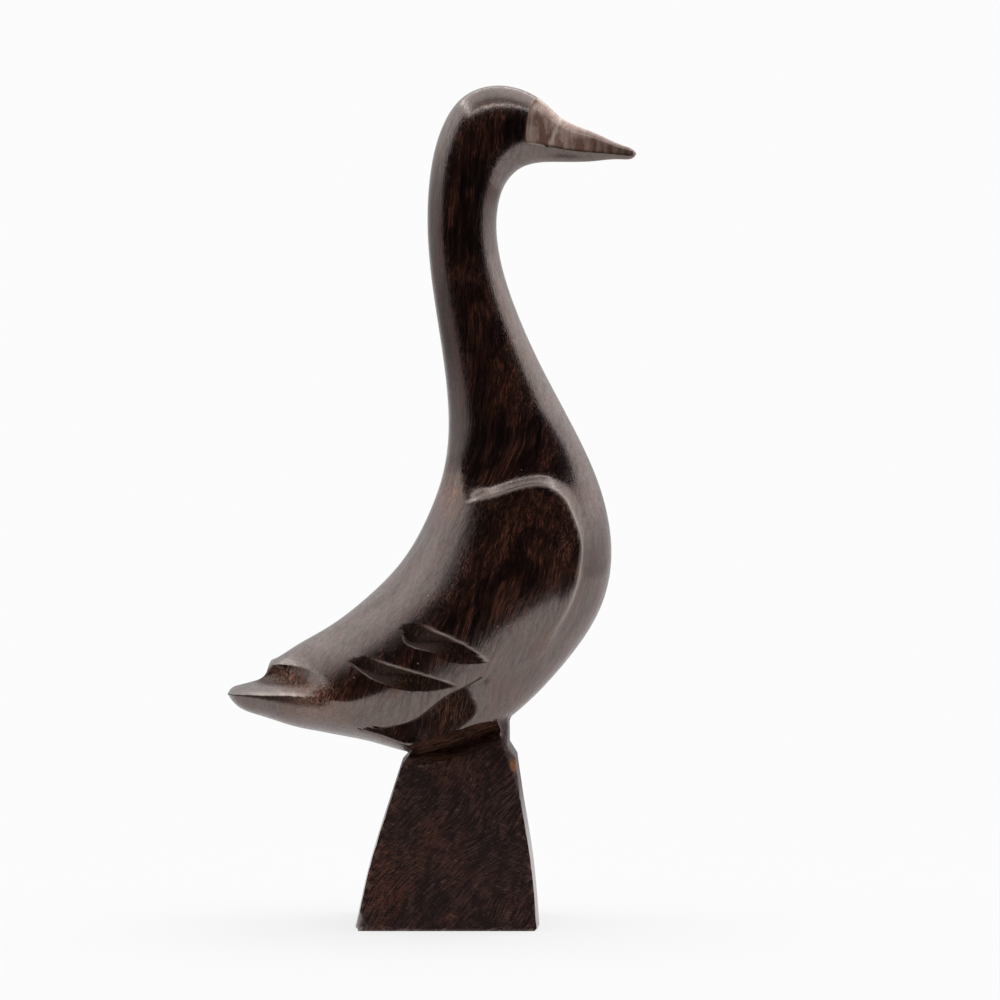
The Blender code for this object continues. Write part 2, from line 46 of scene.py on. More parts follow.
# The goose's ribs and carved lines are measured from the top of the block
BLOCK_TOP = 56.0 * MM

# Levels of the block from the foot up into the belly, in mm: name, left end across and up,
# right end across and up, width; the foot is centred on the origin
BLOCK_LEVELS = (
    ("foot", -31.9, 0.0, 32.4, 0.0, 56.0),
    ("lower block", -26.4, 24.4, 30.2, 24.4, 50.2),
    ("upper block", -21.0, 41.7, 27.4, 41.7, 46.4),
    ("shoulder", -15.9, 57.4, 24.8, 59.3, 43.0),
    ("foot of the waist", -12.4, 61.4, 22.1, 63.6, 41.6),
    ("waist in the belly", -11.5, 70.0, 22.0, 84.0, 38.0),
)
CORNER_CHAMFER = 1.1 * MM
LEFT_CHAMFER = 0.5 * MM
CORNER_DEPTH = 13.0 * MM
FOOT_CHAMFER = 0.8 * MM
EASED_LEVELS = 3
# How far the knocks and the pale colour reach from the corners and the foot; at the corners the pale
# colour is partly wear, partly painted reflection of the chamfers
CORNER_WEAR_AND_SHEEN = 3.0 * MM
FOOT_WEAR = 2.0 * MM
PLANED_INSET = 0.4 * MM
PLANED_WIDTH = 2.0 * MM
PLANED_RISE = (26.0 * MM, 54.0 * MM)

# Ribs of the goose from bill to tail, in mm from the top of the block: name, the outer (crown
# and back) end across and up, the inner (throat and belly) end across and up, the half
# thickness, how round the side is toward each end (1 is an ellipse, less is flatter), and how
# far the back is planed to a bevel (0 to 1)
RIBS = (
    ("bill tip", 66.9, 215.8, 66.9, 215.8, 0.0, 1.0, 1.0, 0.0),
    ("bill end", 66.2, 216.8, 66.2, 214.7, 1.1, 1.0, 1.0, 0.0),
    ("bill nail", 62.9, 218.5, 61.9, 213.8, 2.6, 1.0, 1.0, 0.0),
    ("bill middle", 51.9, 223.3, 51.2, 213.1, 4.4, 1.0, 1.0, 0.0),
    ("bill root", 39.9, 228.8, 38.5, 212.9, 6.6, 1.0, 1.0, 0.0),
    ("lore", 34.9, 233.4, 32.8, 212.7, 8.0, 1.0, 1.0, 0.0),
    ("brow", 29.3, 237.2, 27.8, 211.6, 9.4, 1.0, 1.0, 0.0),
    ("crown", 18.6, 239.9, 22.9, 208.3, 10.9, 0.95, 0.95, 0.0),
    ("back of the head", 6.6, 236.6, 19.7, 203.5, 11.6, 0.95, 0.95, 0.0),
    ("nape", -1.6, 225.8, 17.9, 197.1, 11.7, 1.0, 1.0, 0.0),
    ("neck top", -5.9, 209.9, 17.4, 188.6, 11.7, 1.0, 1.0, 0.0),
    ("upper neck", -7.1, 192.1, 19.0, 177.2, 11.8, 1.0, 1.0, 0.0),
    ("middle of the neck", -5.1, 167.3, 25.4, 157.7, 12.6, 1.0, 1.0, 0.1),
    ("lower neck", -1.4, 142.5, 34.9, 137.2, 14.2, 1.0, 1.0, 0.4),
    ("neck foot", 0.4, 121.2, 45.2, 117.7, 17.0, 0.95, 0.95, 0.8),
    ("shoulder", -1.4, 103.5, 54.4, 96.4, 21.0, 0.9, 0.9, 1.0),
    ("breast", -6.2, 89.3, 58.0, 76.9, 24.8, 0.85, 0.85, 1.0),
    ("upper flank", -15.1, 73.0, 54.8, 56.7, 27.6, 0.82, 0.82, 1.0),
    ("flank", -29.3, 58.1, 41.3, 35.4, 28.4, 0.8, 0.76, 1.0),
    ("belly", -43.4, 47.6, 16.4, 12.6, 27.6, 0.8, 0.42, 1.0),
    ("thigh", -54.1, 41.4, -9.0, 4.0, 25.4, 0.82, 0.45, 1.0),
    ("vent", -60.8, 37.3, -27.5, 8.1, 22.2, 0.85, 0.7, 0.9),
    ("wing tips", -63.1, 35.2, -39.9, 10.4, 19.0, 0.9, 0.85, 0.7),
    ("tail notch", -64.5, 31.5, -45.9, 11.5, 16.6, 0.95, 0.95, 0.4),
    ("tail root", -69.0, 29.0, -54.4, 13.2, 14.0, 1.0, 1.0, 0.1),
    ("tail middle", -73.6, 27.8, -65.8, 16.8, 11.0, 1.0, 1.0, 0.0),
    ("tail end", -76.8, 26.3, -74.6, 20.6, 6.6, 1.0, 1.0, 0.0),
    ("tail tip", -77.9, 24.5, -77.9, 24.5, 0.0, 1.0, 1.0, 0.0),
)

# Carved lines on each side, as (across, up) points in mm from the top of the block
WING_EDGE = (
    (5.4, 92.1), (11.0, 93.4), (16.8, 94.6), (23.8, 97.0), (32.5, 98.4), (37.0, 97.0),
    (41.2, 93.5), (43.9, 88.3), (46.4, 81.4), (47.1, 75.5), (46.0, 66.8), (43.9, 59.1),
    (40.5, 52.2), (35.9, 44.3), (33.6, 40.1), (30.3, 36.8),
)
THIGH_EDGE = ((14.5, 33.3), (12.3, 32.1), (4.7, 27.9), (-1.6, 24.5), (-11.3, 17.2), (-23.1, 14.3))
UPPER_FEATHER_TOP = (
    (-15.3, 49.5), (-13.0, 50.3), (-8.8, 49.9), (-0.8, 46.7), (8.2, 42.2), (14.8, 36.8),
)
UPPER_FEATHER_FOOT = (
    (-15.3, 49.5), (-15.4, 46.2), (-14.0, 43.2), (-6.7, 40.8), (-0.8, 38.2), (5.1, 36.7), (14.8, 36.8),
)
LOWER_FEATHER_TOP = (
    (-33.5, 36.9), (-29.3, 38.7), (-23.7, 37.5), (-9.9, 33.5), (4.0, 29.0),
)
LOWER_FEATHER_FOOT = (
    (-33.5, 36.9), (-31.0, 34.5), (-26.8, 31.7), (-20.3, 28.8), (-13.0, 27.3), (-3.5, 27.4), (4.0, 29.0),
)
TAIL_RIDGE = ((-77.6, 24.8), (-60.8, 24.8), (-43.3, 24.8))
TAIL_HOLLOW_RIM = (
    (-78.0, 32.0), (-71.0, 32.4), (-65.5, 33.6), (-62.0, 35.1), (-56.7, 35.4), (-50.3, 34.5),
    (-46.5, 32.7), (-44.1, 29.3), (-43.3, 24.8),
)
CHEEK_EDGE = (
    (31.5, 235.7), (30.3, 233.5), (29.0, 230.9), (28.1, 226.9), (27.7, 221.6), (28.3, 218.2),
    (30.2, 216.1), (33.3, 215.3),
)
BILL_BASE = ((40.3, 228.8), (35.9, 217.1))
BILL_SIDE = ((24.0, 218.6), (33.4, 218.2), (38.9, 217.1), (51.4, 215.8), (62.2, 215.0), (67.5, 214.8))

# Soft forms that only catch the light: a fold that joins the wing's edge to the thigh's, and a
# shallow groove along each side of the back
SOFT_FOLD = ((35.2, 43.2), (30.7, 38.0), (23.8, 34.9), (16.8, 33.5), (9.2, 30.8))
BACK_GROOVE = (
    (-6.7, 75.9), (-12.3, 68.2), (-17.3, 61.2), (-25.3, 55.2), (-34.2, 50.0), (-44.0, 43.2),
    (-51.7, 38.4),
)

# Depths and widths of the carving
BACK_BEVEL_SLOPE = (0.5, 0.15)
BACK_BEVEL_ROUND = (10.0 * MM, 14.0 * MM)
BACK_BEVEL_BLEND = 3.0 * MM
WING_STEP_DEPTH = 3.2 * MM
WING_STEP_WIDTH = 4.8 * MM
WING_WALL = 0.6 * MM
WING_WALL_SHARE = 0.4
WING_RUNOUT = 26.0 * MM
BREAST_STEP_SHARE = 0.7
WING_BEAD_RISE = 0.7 * MM
WING_BEAD_WIDTH = 5.5 * MM
THIGH_WALL = 0.7 * MM
THIGH_FACET_HEIGHT = 23.2 * MM
THIGH_FACET_TURN = 0.14
THIGH_FACET_LEAN = 0.02
SOFT_FOLD_DEPTH = 0.9 * MM
SOFT_FOLD_WALL = 3.5 * MM
SOFT_FOLD_WIDTH = 13.0 * MM
BACK_GROOVE_SHARE = 0.07
BACK_GROOVE_WIDTH = 2.6 * MM
FEATHER_TOP_SLOPES = (0.30, 1.1)
FEATHER_FOOT_SLOPES = (1.1, 0.16)
TAIL_RIM_WALL = 3.0 * MM
TAIL_RIM_FADE = 9.0 * MM
TAIL_ROOT = (-62.0 * MM, -46.0 * MM)
CHEEK_WALL = 0.7 * MM
CHEEK_SCOOP_DEPTH = 1.0 * MM
BILL_EDGE_SHARE = 0.735
BILL_SIDE_LEAN = 0.28
BILL_NARROWING = 0.86
HEAD_RISE = 210.0 * MM
BACK_BEVEL_LIFT = 25.0 * MM
BACK_BEVEL_START = 8.0 * MM
CUT_RUNOUT = 7.0 * MM
FACET_FADE = 2.5 * MM
FACET_BLEND = 0.8 * MM
HAND_WAVER = 0.10 * MM
HAND_WAVER_LENGTH = 19.0 * MM

# Where gouge and rasp left the carving less polished, the grit in the tail's hollow; and a painted
# shade, a dark dull band under the tail's ridge, which widens from the tip
HOLLOW_GRIT = 0.9
HOLLOW_GRIT_DEPTH = 0.6
HOLLOW_GRIT_ABOVE = (2.2 * MM, 4.5 * MM)
HOLLOW_GRIT_ALONG = (-70.0 * MM, -64.0 * MM)
SHADE_BAND_SHARE = 0.85
SHADE_BAND_WIDTHS = (0.5 * MM, 5.0 * MM)
SHADE_BAND_GROWTH = (-76.0 * MM, -46.0 * MM)
SHADE_BAND_END = (-46.0 * MM, -34.0 * MM)
SHADE_BAND_CORE = 0.35
FEATHER_CUT_FULL = 0.3 * MM

# Painted highlights on carved edges, a pale colour for the light they catch: strength, how far from
# the line each is full and gone, and the shares of the line over which it comes in and goes out
BILL_BASE_HIGHLIGHT = (1.0, 0.2 * MM, 0.8 * MM)
CHEEK_HIGHLIGHT = (0.6, 0.3 * MM, 1.0 * MM)
LIP_HIGHLIGHT = (1.0, 0.2 * MM, 1.0 * MM)
WING_EDGE_HIGHLIGHT = (0.45, 0.1 * MM, 0.8 * MM, (0.002, 0.03), (0.7, 0.95))
TAIL_RIDGE_HIGHLIGHT = (0.45, 0.4 * MM, 1.6 * MM, (0.1, 0.4), (0.9, 0.998))
FEATHER_HIGHLIGHT = (0.4, 0.1 * MM, 0.55 * MM, (0.15, 0.35), (0.97, 0.971))
CHEEK_LINE_SHIFT = 1.6 * MM
HIGHLIGHT_ABOVE_BILL_SIDE = 2.0 * MM

# Where the bill's pale wood shows: in front of the cheek, above the lower edge, less at the tip
BILL_FRONT = (-0.5 * MM, 1.0 * MM)
BILL_ABOVE = (-0.3 * MM, 1.2 * MM)
BILL_TIP_FADE = (42.0 * MM, 66.0 * MM)
BILL_TIP_LOSS = 0.7

# Patches where the wood's figure shows strongly: what, middle across and up (mm from the top of
# the block), half width, half height, and how strong it is
FIGURE_PATCHES = (
    ("left end of the wing's edge", 0.5, 96.0, 7.0, 12.0, 1.0),
    ("front of the wing", 42.0, 78.0, 6.0, 16.0, 0.5),
    ("red cross band of the neck", 8.0, 171.0, 14.0, 6.0, 0.5),
    ("lower neck", 20.0, 138.0, 10.0, 16.0, 0.4),
    ("middle of the wing", 22.0, 84.0, 14.0, 18.0, 0.35),
    ("hollow of the tail", -58.5, 31.5, 7.0, 3.6, 1.5),
    ("behind the hollow", -46.0, 27.0, 8.0, 4.0, 0.8),
    ("side of the tail", -45.0, 20.0, 16.0, 7.0, 0.8),
    ("thigh", 2.0, 20.0, 16.0, 12.0, 0.6),
    ("foot of the breast", 26.0, 26.0, 8.0, 8.0, 0.5),
    ("back of the wing", -14.0, 62.0, 7.0, 14.0, 0.35),
)

# The gouged channel between belly and block, as stations from its open end to its blind one:
# across, lower lip, upper lip (mm above the foot) and depth
CHANNEL = (
    (-18.0, 56.8, 62.0, 4.0),
    (-12.0, 57.8, 64.0, 5.0),
    (-5.8, 58.5, 65.6, 6.5),
    (0.5, 59.4, 67.0, 7.5),
    (5.7, 60.6, 68.4, 8.5),
    (11.6, 62.8, 70.7, 9.5),
    (15.1, 64.3, 72.1, 9.0),
    (17.6, 65.5, 72.7, 7.0),
)
CHANNEL_END = (20.0, 69.4)
CHANNEL_APEX_SHARE = 0.36
CHANNEL_LIP = ((-14.0, 0.5), (-6.0, 1.6), (1.0, 3.4), (8.0, 6.0), (14.5, 9.0), (18.0, 12.5))
CHANNEL_MOUTH = 24.0 * MM
CHANNEL_FACE = 20.0 * MM
CHANNEL_LIP_FACE = 17.0 * MM

# Knocked corners of the block: corner, the way that the break faces, and how deep it goes
BREAKS = (
    ((24.8, -21.5, 59.3), (1.0, -1.0, 0.45), 2.6),
    ((-31.3, -28.0, 0.0), (-1.0, -1.0, -0.5), 3.6),
)
BREAK_GRAIN = 1.6 * MM
BREAK_ROUGHNESS = 0.5 * MM
RING_PIECES = (42, 9, 24, 9)

# Fineness of the meshes
STATION_STEP = 1.05 * MM
SIDE_ROWS = 78
BLOCK_STEP = 1.0 * MM
SPOT_SCALE = 20.0 * MM
FILLET_REACH = 2.2 * MM
FILLET_ROUNDS = 7
SHARP_TURN = 38

# The wood's colours
BLACK_WOOD = (0.0016, 0.0009, 0.0008, 1)
DARK_WOOD = (0.0140, 0.0052, 0.0036, 1)
RED_WOOD = (0.15, 0.047, 0.030, 1)
WARM_WOOD = (0.33, 0.160, 0.105, 1)
PALE_PORE = (0.38, 0.31, 0.27, 1)
BILL_WOOD = (0.26, 0.138, 0.100, 1)
BILL_PALE = (0.56, 0.390, 0.325, 1)
# Pale colour of the painted highlight along the carved edges
EDGE_HIGHLIGHT_COLOUR = (0.75, 0.62, 0.55, 1)
CUT_WOOD = (0.080, 0.036, 0.021, 1)
BLOCK_DARK = (0.0060, 0.0033, 0.0034, 1)
BLOCK_WOOD = (0.048, 0.0240, 0.0215, 1)
BLOCK_RED = (0.100, 0.0300, 0.0220, 1)
# Pale wood of scratches and knocks, also used as painted reflection on the corners and painted highlight
# on the channel's lip
BLOCK_PALE = (0.17, 0.105, 0.086, 1)
CHIP_WOOD = (0.22, 0.070, 0.012, 1)

# How the two finishes reflect, and the orange chip at one corner of the block
POLISH_INDEX = 2.4
POLISHED_TINT = (1.0, 0.83, 0.77, 1)
PLANED_ROUGHNESS = 0.20
RASPED_INDEX = 1.4
RASPED_TINT = (0.75, 0.54, 0.47, 1)
CHIP_PLACE = (24.2 * MM, -20.5 * MM, 57.0 * MM)
CHIP_REACH = 3.4 * MM

# The grain leans in the body, stands nearly upright in the neck, and wanders a little
BODY_GRAIN_LEAN = 0.30
NECK_GRAIN_LEAN = 0.06
NECK_START = 170.0 * MM
GRAIN_WANDER = 9.0 * MM
GRAIN_WANDER_SCALE = 38.0

# Patterns of the wood: width, depth and length in mm, then fineness, then lean in degrees
ZONES = ((7.0, 7.0, 15.0), 2.0)
BUNDLES = ((1.6, 1.6, 24.0), 2.0)
STREAKS = ((0.46, 0.46, 18.0), 2.0)
THREADS = ((0.30, 0.30, 2.6), 3.0)
BILL_FIGURE = ((2.6, 2.6, 8.0), 3.0)
PORES = (3.4, 3.4, 4.6)
RASP_SWIRLS = ((0.55, 0.8, 7.0), 3.0, 42)
RASP_CROSSED = ((0.4, 0.6, 5.0), 2.0, -70)
BLOCK_CLOUDS = ((4.0, 4.0, 13.0), 3.0)
CHANNEL_FURROWS = ((7.0, 0.5, 0.5), 3.0, -14)
WHIRL_SCALE = 24.0
WHIRL_REACH = 26.0 * MM
GRIT_SCALE = 2200.0
WEATHER_SCALE = 60.0
CORNER_SCALE = 420.0

# The rasp's tool marks on the block, as sizes of its geometry nodes
RASP_SIZES = (
    ("Swirl depth", 0.16 * MM), ("Swirl width", 3.2 * MM), ("Saw depth", 0.22 * MM),
    ("Saw width", 1.5 * MM), ("Dent depth", 0.45 * MM), ("Dent width", 5.0 * MM),
)
SWIRL_TURN = (0.78, 0.62)
SWIRL_BEND = 16.0 * MM
SWIRL_BEND_SCALE = 55.0
SWIRL_LENGTHS = 7
SAW_LENGTHS = 14
SAW_BAND = (52.0 * MM, 58.0 * MM)
SAW_LEAN = 0.36

# The studio, in metres
CAMERA_PLACE = (0.0186, -1.2, 0.1492)
CAMERA_LENS = 122.0
ROOM_DARK = 0.006
FLOOR_WHITE = (0.80, 0.80, 0.80, 1)
BACKGROUND_WHITE = 0.97
FLOOR_REACH = (-0.46, 1.0, -0.42, 3.0)

# How far from the goose the floor turns from a table to plain white, and how plain it is there
FLOOR_FADE = (0.05, 0.40)
FLOOR_PLAIN = (0.74, 1.0)

# How bright the walls are below the goose, beside it and high up, and how high up that is; how
# bright the roof is from back to front
LEFT_WALL_GLOW = (0.20, 0.52, 1.4, 0.5)
RIGHT_WALL_GLOW = (0.50, 0.85, 1.6, 0.4)
BACK_WALL_GLOW = 0.95
ROOF_GLOW = (0.55, 0.4)
STRIP_GLOW = 3.0
ROOF_STRIPS = (
    # name, centre, width and depth, in metres
    ("roof front strip", (0.05, -0.44, 0.80), 0.98, 0.08),
    ("roof back strip", (0.05, 0.42, 0.80), 0.98, 0.08),
    ("roof left strip", (-0.40, -0.01, 0.80), 0.08, 0.78),
    ("roof right strip", (0.50, -0.01, 0.80), 0.08, 0.78),
)


def natural_spline(knots, values):
    """Second derivatives of the smoothest curve through the values at the knots."""
    gaps = np.diff(knots)
    slopes = np.diff(values, axis=0) / gaps[:, None]
    count = len(knots)
    system = np.eye(count)
    right = np.zeros_like(values)
    for i in range(1, count - 1):
        system[i, i - 1] = gaps[i - 1]
        system[i, i] = 2 * (gaps[i - 1] + gaps[i])
        system[i, i + 1] = gaps[i]
        right[i] = 6 * (slopes[i] - slopes[i - 1])
    return np.linalg.solve(system, right)


def spline_at(knots, values, bends, places):
    """The curve's values at any places along its knots."""
    i = np.clip(np.searchsorted(knots, places) - 1, 0, len(knots) - 2)
    gap = knots[i + 1] - knots[i]
    after = ((places - knots[i]) / gap)[:, None]
    before = 1 - after
    bend = (before**3 - before) * bends[i] + (after**3 - after) * bends[i + 1]
    return before * values[i] + after * values[i + 1] + bend * (gap**2 / 6)[:, None]


class CarvedLine:
    """A smooth line seen from the side, to measure how far any place lies from it."""

    def __init__(self, points, samples=90):
        points = np.array(points) * MM
        points[:, 1] += BLOCK_TOP
        lengths = np.linalg.norm(np.diff(points, axis=0), axis=1)
        knots = np.concatenate([[0], np.cumsum(np.sqrt(lengths))])
        places = np.linspace(0, knots[-1], samples)
        self.points = spline_at(knots, points, natural_spline(knots, points), places)
        steps = np.linalg.norm(np.diff(self.points, axis=0), axis=1)
        self.along = np.concatenate([[0], np.cumsum(steps)]) / steps.sum()

    def offset(self, places):
        """Distance to the left of the line, and the share of the line passed there."""
        start = self.points[:-1]
        step = self.points[1:] - start
        reach = places[:, None, :] - start[None]
        share = (reach * step).sum(2) / (step**2).sum(1)
        share = np.clip(share, 0, 1)
        away = reach - share[:, :, None] * step
        squares = (away**2).sum(2)
        nearest = squares.argmin(1)
        row = np.arange(len(places))
        side = step[nearest, 0] * reach[row, nearest, 1] - step[nearest, 1] * reach[row, nearest, 0]
        distance = np.sqrt(squares[row, nearest]) * np.where(side < 0, -1, 1)
        passed = self.along[nearest] + share[row, nearest] * np.diff(self.along)[nearest]
        return distance, passed


def ramp(value, start, end):
    """A soft rise from 0 at the start to 1 at the end."""
    share = np.clip((value - start) / (end - start), 0, 1)
    return share * share * (3 - 2 * share)


def blended(pair, share):
    """The value at a share of the way from the pair's first to its second."""
    return pair[0] + (pair[1] - pair[0]) * share


def soft_least(first, second, blend):
    """The lesser of two heights, with the crossing rounded over the blend."""
    share = np.clip(0.5 + 0.5 * (second - first) / blend, 0, 1)
    return second * (1 - share) + first * share - blend * share * (1 - share)


def concave_step(distance, width):
    """A drop beside a crest: a short steep wall, then a cove that is level where the width ends."""
    wall = np.clip(distance / WING_WALL, 0, 1)
    left = np.clip(1 - distance / width, 0, 1)
    return wall * WING_WALL_SHARE + (1 - left**2) * (1 - WING_WALL_SHARE)


class GooseForm:
    """The goose's side as a height over its outline, with every carved line."""

    def __init__(self):
        table = np.array([rib[1:] for rib in RIBS])
        table[:, [1, 3]] += BLOCK_TOP / MM
        table[:, :5] *= MM
        middles = (table[:, 0:2] + table[:, 2:4]) / 2
        outer = np.linalg.norm(np.diff(table[:, 0:2], axis=0), axis=1)
        inner = np.linalg.norm(np.diff(table[:, 2:4], axis=0), axis=1)
        centre = np.linalg.norm(np.diff(middles, axis=0), axis=1)
        self.knots = np.concatenate([[0], np.cumsum((outer + inner + centre) / 3)])
        self.reaches = np.maximum(outer, inner)
        self.table = table
        self.bends = natural_spline(self.knots, table)
        self.length = self.knots[-1]
        self.wing = CarvedLine(WING_EDGE)
        self.thigh = CarvedLine(THIGH_EDGE)
        self.fold = CarvedLine(SOFT_FOLD)
        self.groove = CarvedLine(BACK_GROOVE)
        self.feathers = [
            (CarvedLine(UPPER_FEATHER_TOP), CarvedLine(UPPER_FEATHER_FOOT)),
            (CarvedLine(LOWER_FEATHER_TOP), CarvedLine(LOWER_FEATHER_FOOT)),
        ]
        self.ridge = CarvedLine(TAIL_RIDGE)
        self.rim = CarvedLine(TAIL_HOLLOW_RIM)
        self.cheek = CarvedLine(CHEEK_EDGE)
        self.base = CarvedLine(BILL_BASE)
        self.bill_side = CarvedLine(BILL_SIDE)

    def rib_at(self, spots):
        return spline_at(self.knots, self.table, self.bends, spots[:, 0])

    def places(self, spots):
        """Where spots of the skin (length passed, turn around the rib) lie in the side view."""
        rib = self.rib_at(spots)
        share = ((1 - np.cos(spots[:, 1])) / 2)[:, None]
        return rib[:, 0:2] * (1 - share) + rib[:, 2:4] * share

    def heights(self, spots):
        """How far the carved side stands out from the middle plane."""
        rib = self.rib_at(spots)
        places = self.places(spots)
        turn = np.clip(np.sin(spots[:, 1]), 0, 1)
        share = (1 - np.cos(spots[:, 1])) / 2
        thickness = np.maximum(rib[:, 4], 0)
        roundness = blended((rib[:, 5], rib[:, 6]), ramp(share, 0.35, 0.65))
        height = thickness * turn**roundness
        height = self.back_bevel(rib, share, height)
        height = self.shape_bill(places, share, thickness, height)
        height = self.tail_form(rib, places, share, height) * (1 - self.back_groove(places))
        height = self.thigh_facet(places, height)
        cut = self.wing_step(places) + self.soft_fold(places)
        for pair in self.feathers:
            cut = cut + self.feather_cut(pair, places)
        height = height - cut * ramp(height, 0, CUT_RUNOUT)
        height = height + hand_waver(places) * turn**2
        return np.maximum(height, 0)

    def back_bevel(self, rib, share, height):
        """Planes the back down beside its ridge, as on the wings of the carving."""
        length = np.hypot(rib[:, 2] - rib[:, 0], rib[:, 3] - rib[:, 1])
        passed = share * length
        on_body = ramp(rib[:, 0], *TAIL_ROOT)
        slope = blended(BACK_BEVEL_SLOPE, on_body)
        rounding = blended(BACK_BEVEL_ROUND, on_body)
        bevel = np.sqrt((slope * passed) ** 2 + 2 * rounding * passed)
        bevel = bevel + (1 - np.clip(rib[:, 7], 0, 1)) * BACK_BEVEL_LIFT
        blend = BACK_BEVEL_BLEND * ramp(passed, 0, BACK_BEVEL_START) + TINY
        return np.maximum(soft_least(height, bevel, blend), 0)

    def shape_bill(self, places, share, thickness, height):
        """In front of the cheek the round head gives way to the bill's flat sides."""
        above = np.clip(1 - share / BILL_EDGE_SHARE, 0, 1)
        below = np.clip((share - BILL_EDGE_SHARE) / (1 - BILL_EDGE_SHARE), 0, 1)
        flat = (1 - BILL_SIDE_LEAN * above) * np.sqrt(1 - above**6) * (1 - below) ** 0.6
        cheek = self.cheek.offset(places)[0]
        base = self.base.offset(places)[0]
        across = np.clip(cheek / np.maximum(cheek - base, 0.01 * MM), 0, 1)
        scoop = CHEEK_SCOOP_DEPTH * (1 - across) * turn_in(share)
        bill = thickness * BILL_NARROWING * flat - np.where(base < 0, scoop, 0)
        behind_wall = np.clip(cheek / CHEEK_WALL, 0, 1)
        under_chin = ramp(places[:, 0], 30 * MM, 40 * MM)
        front = np.where(share < BILL_EDGE_SHARE, np.maximum(behind_wall, under_chin), under_chin)
        front = np.where(self.on_head(places), front, 0)
        return height * (1 - front) + np.maximum(bill, 0) * front

    def on_head(self, places):
        return places[:, 1] > BLOCK_TOP + HEAD_RISE

    def on_tail(self, places):
        """How far inside the tail's hollow each place lies: 0 at its rim and outside it."""
        ridge = self.ridge.offset(places)[0]
        rim = self.rim.offset(places)[0]
        inside = (ridge > 0) & (rim < 0) & (places[:, 0] < TAIL_RIDGE[-1][0] * MM)
        wall = TAIL_RIM_WALL + TAIL_RIM_FADE * ramp(places[:, 0], *TAIL_ROOT)
        return np.where(inside, np.clip(-rim / wall, 0, 1), 0)

    def tail_form(self, rib, places, share, height):
        """The tail's side comes to a crisp ridge: gouged flat above it, rounded below it."""
        above_ridge = rib[:, 1] - BLOCK_TOP - TAIL_RIDGE[0][1] * MM
        crossing = np.clip(above_ridge / np.maximum(rib[:, 1] - rib[:, 3], MM), 0.1, 0.9)
        thickness = np.maximum(rib[:, 4], 0)
        tail = 1 - ramp(places[:, 0], *TAIL_ROOT)
        crest = 2 * np.sqrt(crossing * (1 - crossing))
        crest = thickness * (crest + (1 - crest) * tail)
        below = np.clip((share - crossing) / (1 - crossing), 0, 1)
        side = np.where(share > crossing, crest * np.sqrt(1 - below**2.6), height)
        height = height + (side - height) * tail
        return height + (crest * share / crossing - height) * self.on_tail(places)

    def back_groove(self, places):
        distance, passed = self.groove.offset(places)
        strength = ramp(passed, 0, 0.15) * (1 - ramp(passed, 0.8, 1.0))
        return BACK_GROOVE_SHARE * strength * np.exp(-((distance / BACK_GROOVE_WIDTH) ** 2))

    def wing_step(self, places):
        distance, passed = self.wing.offset(places)
        narrowing = 1 - (1 - BREAST_STEP_SHARE) * ramp(passed, 0.3, 0.5)
        strength = narrowing * ramp(passed, 0, 0.1) * (1 - ramp(passed, 0.88, 1.0))
        width = WING_STEP_WIDTH * narrowing
        runout = 1 - ramp(distance, width, WING_RUNOUT)
        bead = WING_BEAD_RISE * ramp(distance, -WING_BEAD_WIDTH, 0) * ramp(passed, 0.3, 0.6)
        return strength * (WING_STEP_DEPTH * concave_step(distance, width) - bead) * runout

    def thigh_facet(self, places, height):
        """Below the thigh's edge the side is cut to an upright facet."""
        distance, passed = self.thigh.offset(places)
        strength = ramp(passed, 0, 0.25) * (1 - ramp(passed, 0.75, 1.0))
        reach = places - self.thigh.points[0]
        facet = THIGH_FACET_HEIGHT + reach[:, 0] * THIGH_FACET_TURN - reach[:, 1] * THIGH_FACET_LEAN
        facet = facet + (1 - strength) * FACET_FADE
        cut = height - soft_least(height, facet, FACET_BLEND)
        return height - cut * np.clip(distance / THIGH_WALL, 0, 1)

    def soft_fold(self, places):
        distance, passed = self.fold.offset(places)
        strength = ramp(passed, 0, 0.3) * (1 - ramp(passed, 0.7, 1.0))
        drop = ramp(distance, -SOFT_FOLD_WALL / 2, SOFT_FOLD_WALL / 2)
        runout = 1 - ramp(distance, SOFT_FOLD_WALL, SOFT_FOLD_WIDTH)
        return SOFT_FOLD_DEPTH * strength * drop * runout

    def feather_cut(self, pair, places):
        top, foot = self.feather_walls(pair, places)
        return np.clip(np.minimum(top, foot), 0, None)

    def feather_walls(self, pair, places):
        """Depth of a feather cut's upper and lower wall, which trade steepness along the cut."""
        top, passed = pair[0].offset(places)
        foot = pair[1].offset(places)[0]
        turned = ramp(passed, 0.1, 0.7)
        return -top * blended(FEATHER_TOP_SLOPES, turned), foot * blended(FEATHER_FOOT_SLOPES, turned)

    def cuts_and_painted_shade(self, places):
        """Where gouge and rasp left the wood less polished, and the painted shade under the tail's
        ridge: toward 1 there, 0 elsewhere.
        """
        along = places[:, 0]
        above_ridge = self.ridge.offset(places)[0]
        grit = HOLLOW_GRIT * ramp(self.on_tail(places), 0, HOLLOW_GRIT_DEPTH)
        grit = grit * ramp(above_ridge, *HOLLOW_GRIT_ABOVE) * ramp(along, *HOLLOW_GRIT_ALONG)
        width = blended(SHADE_BAND_WIDTHS, ramp(along, *SHADE_BAND_GROWTH))
        # Painted shade: a dark band just under the tail's ridge
        band = SHADE_BAND_SHARE * (above_ridge < 0) * ramp(-above_ridge, width, width * SHADE_BAND_CORE)
        cut = np.maximum(grit, band * (1 - ramp(along, *SHADE_BAND_END)))
        for pair in self.feathers:
            cut = np.maximum(cut, ramp(self.feather_cut(pair, places), 0, FEATHER_CUT_FULL))
        return cut

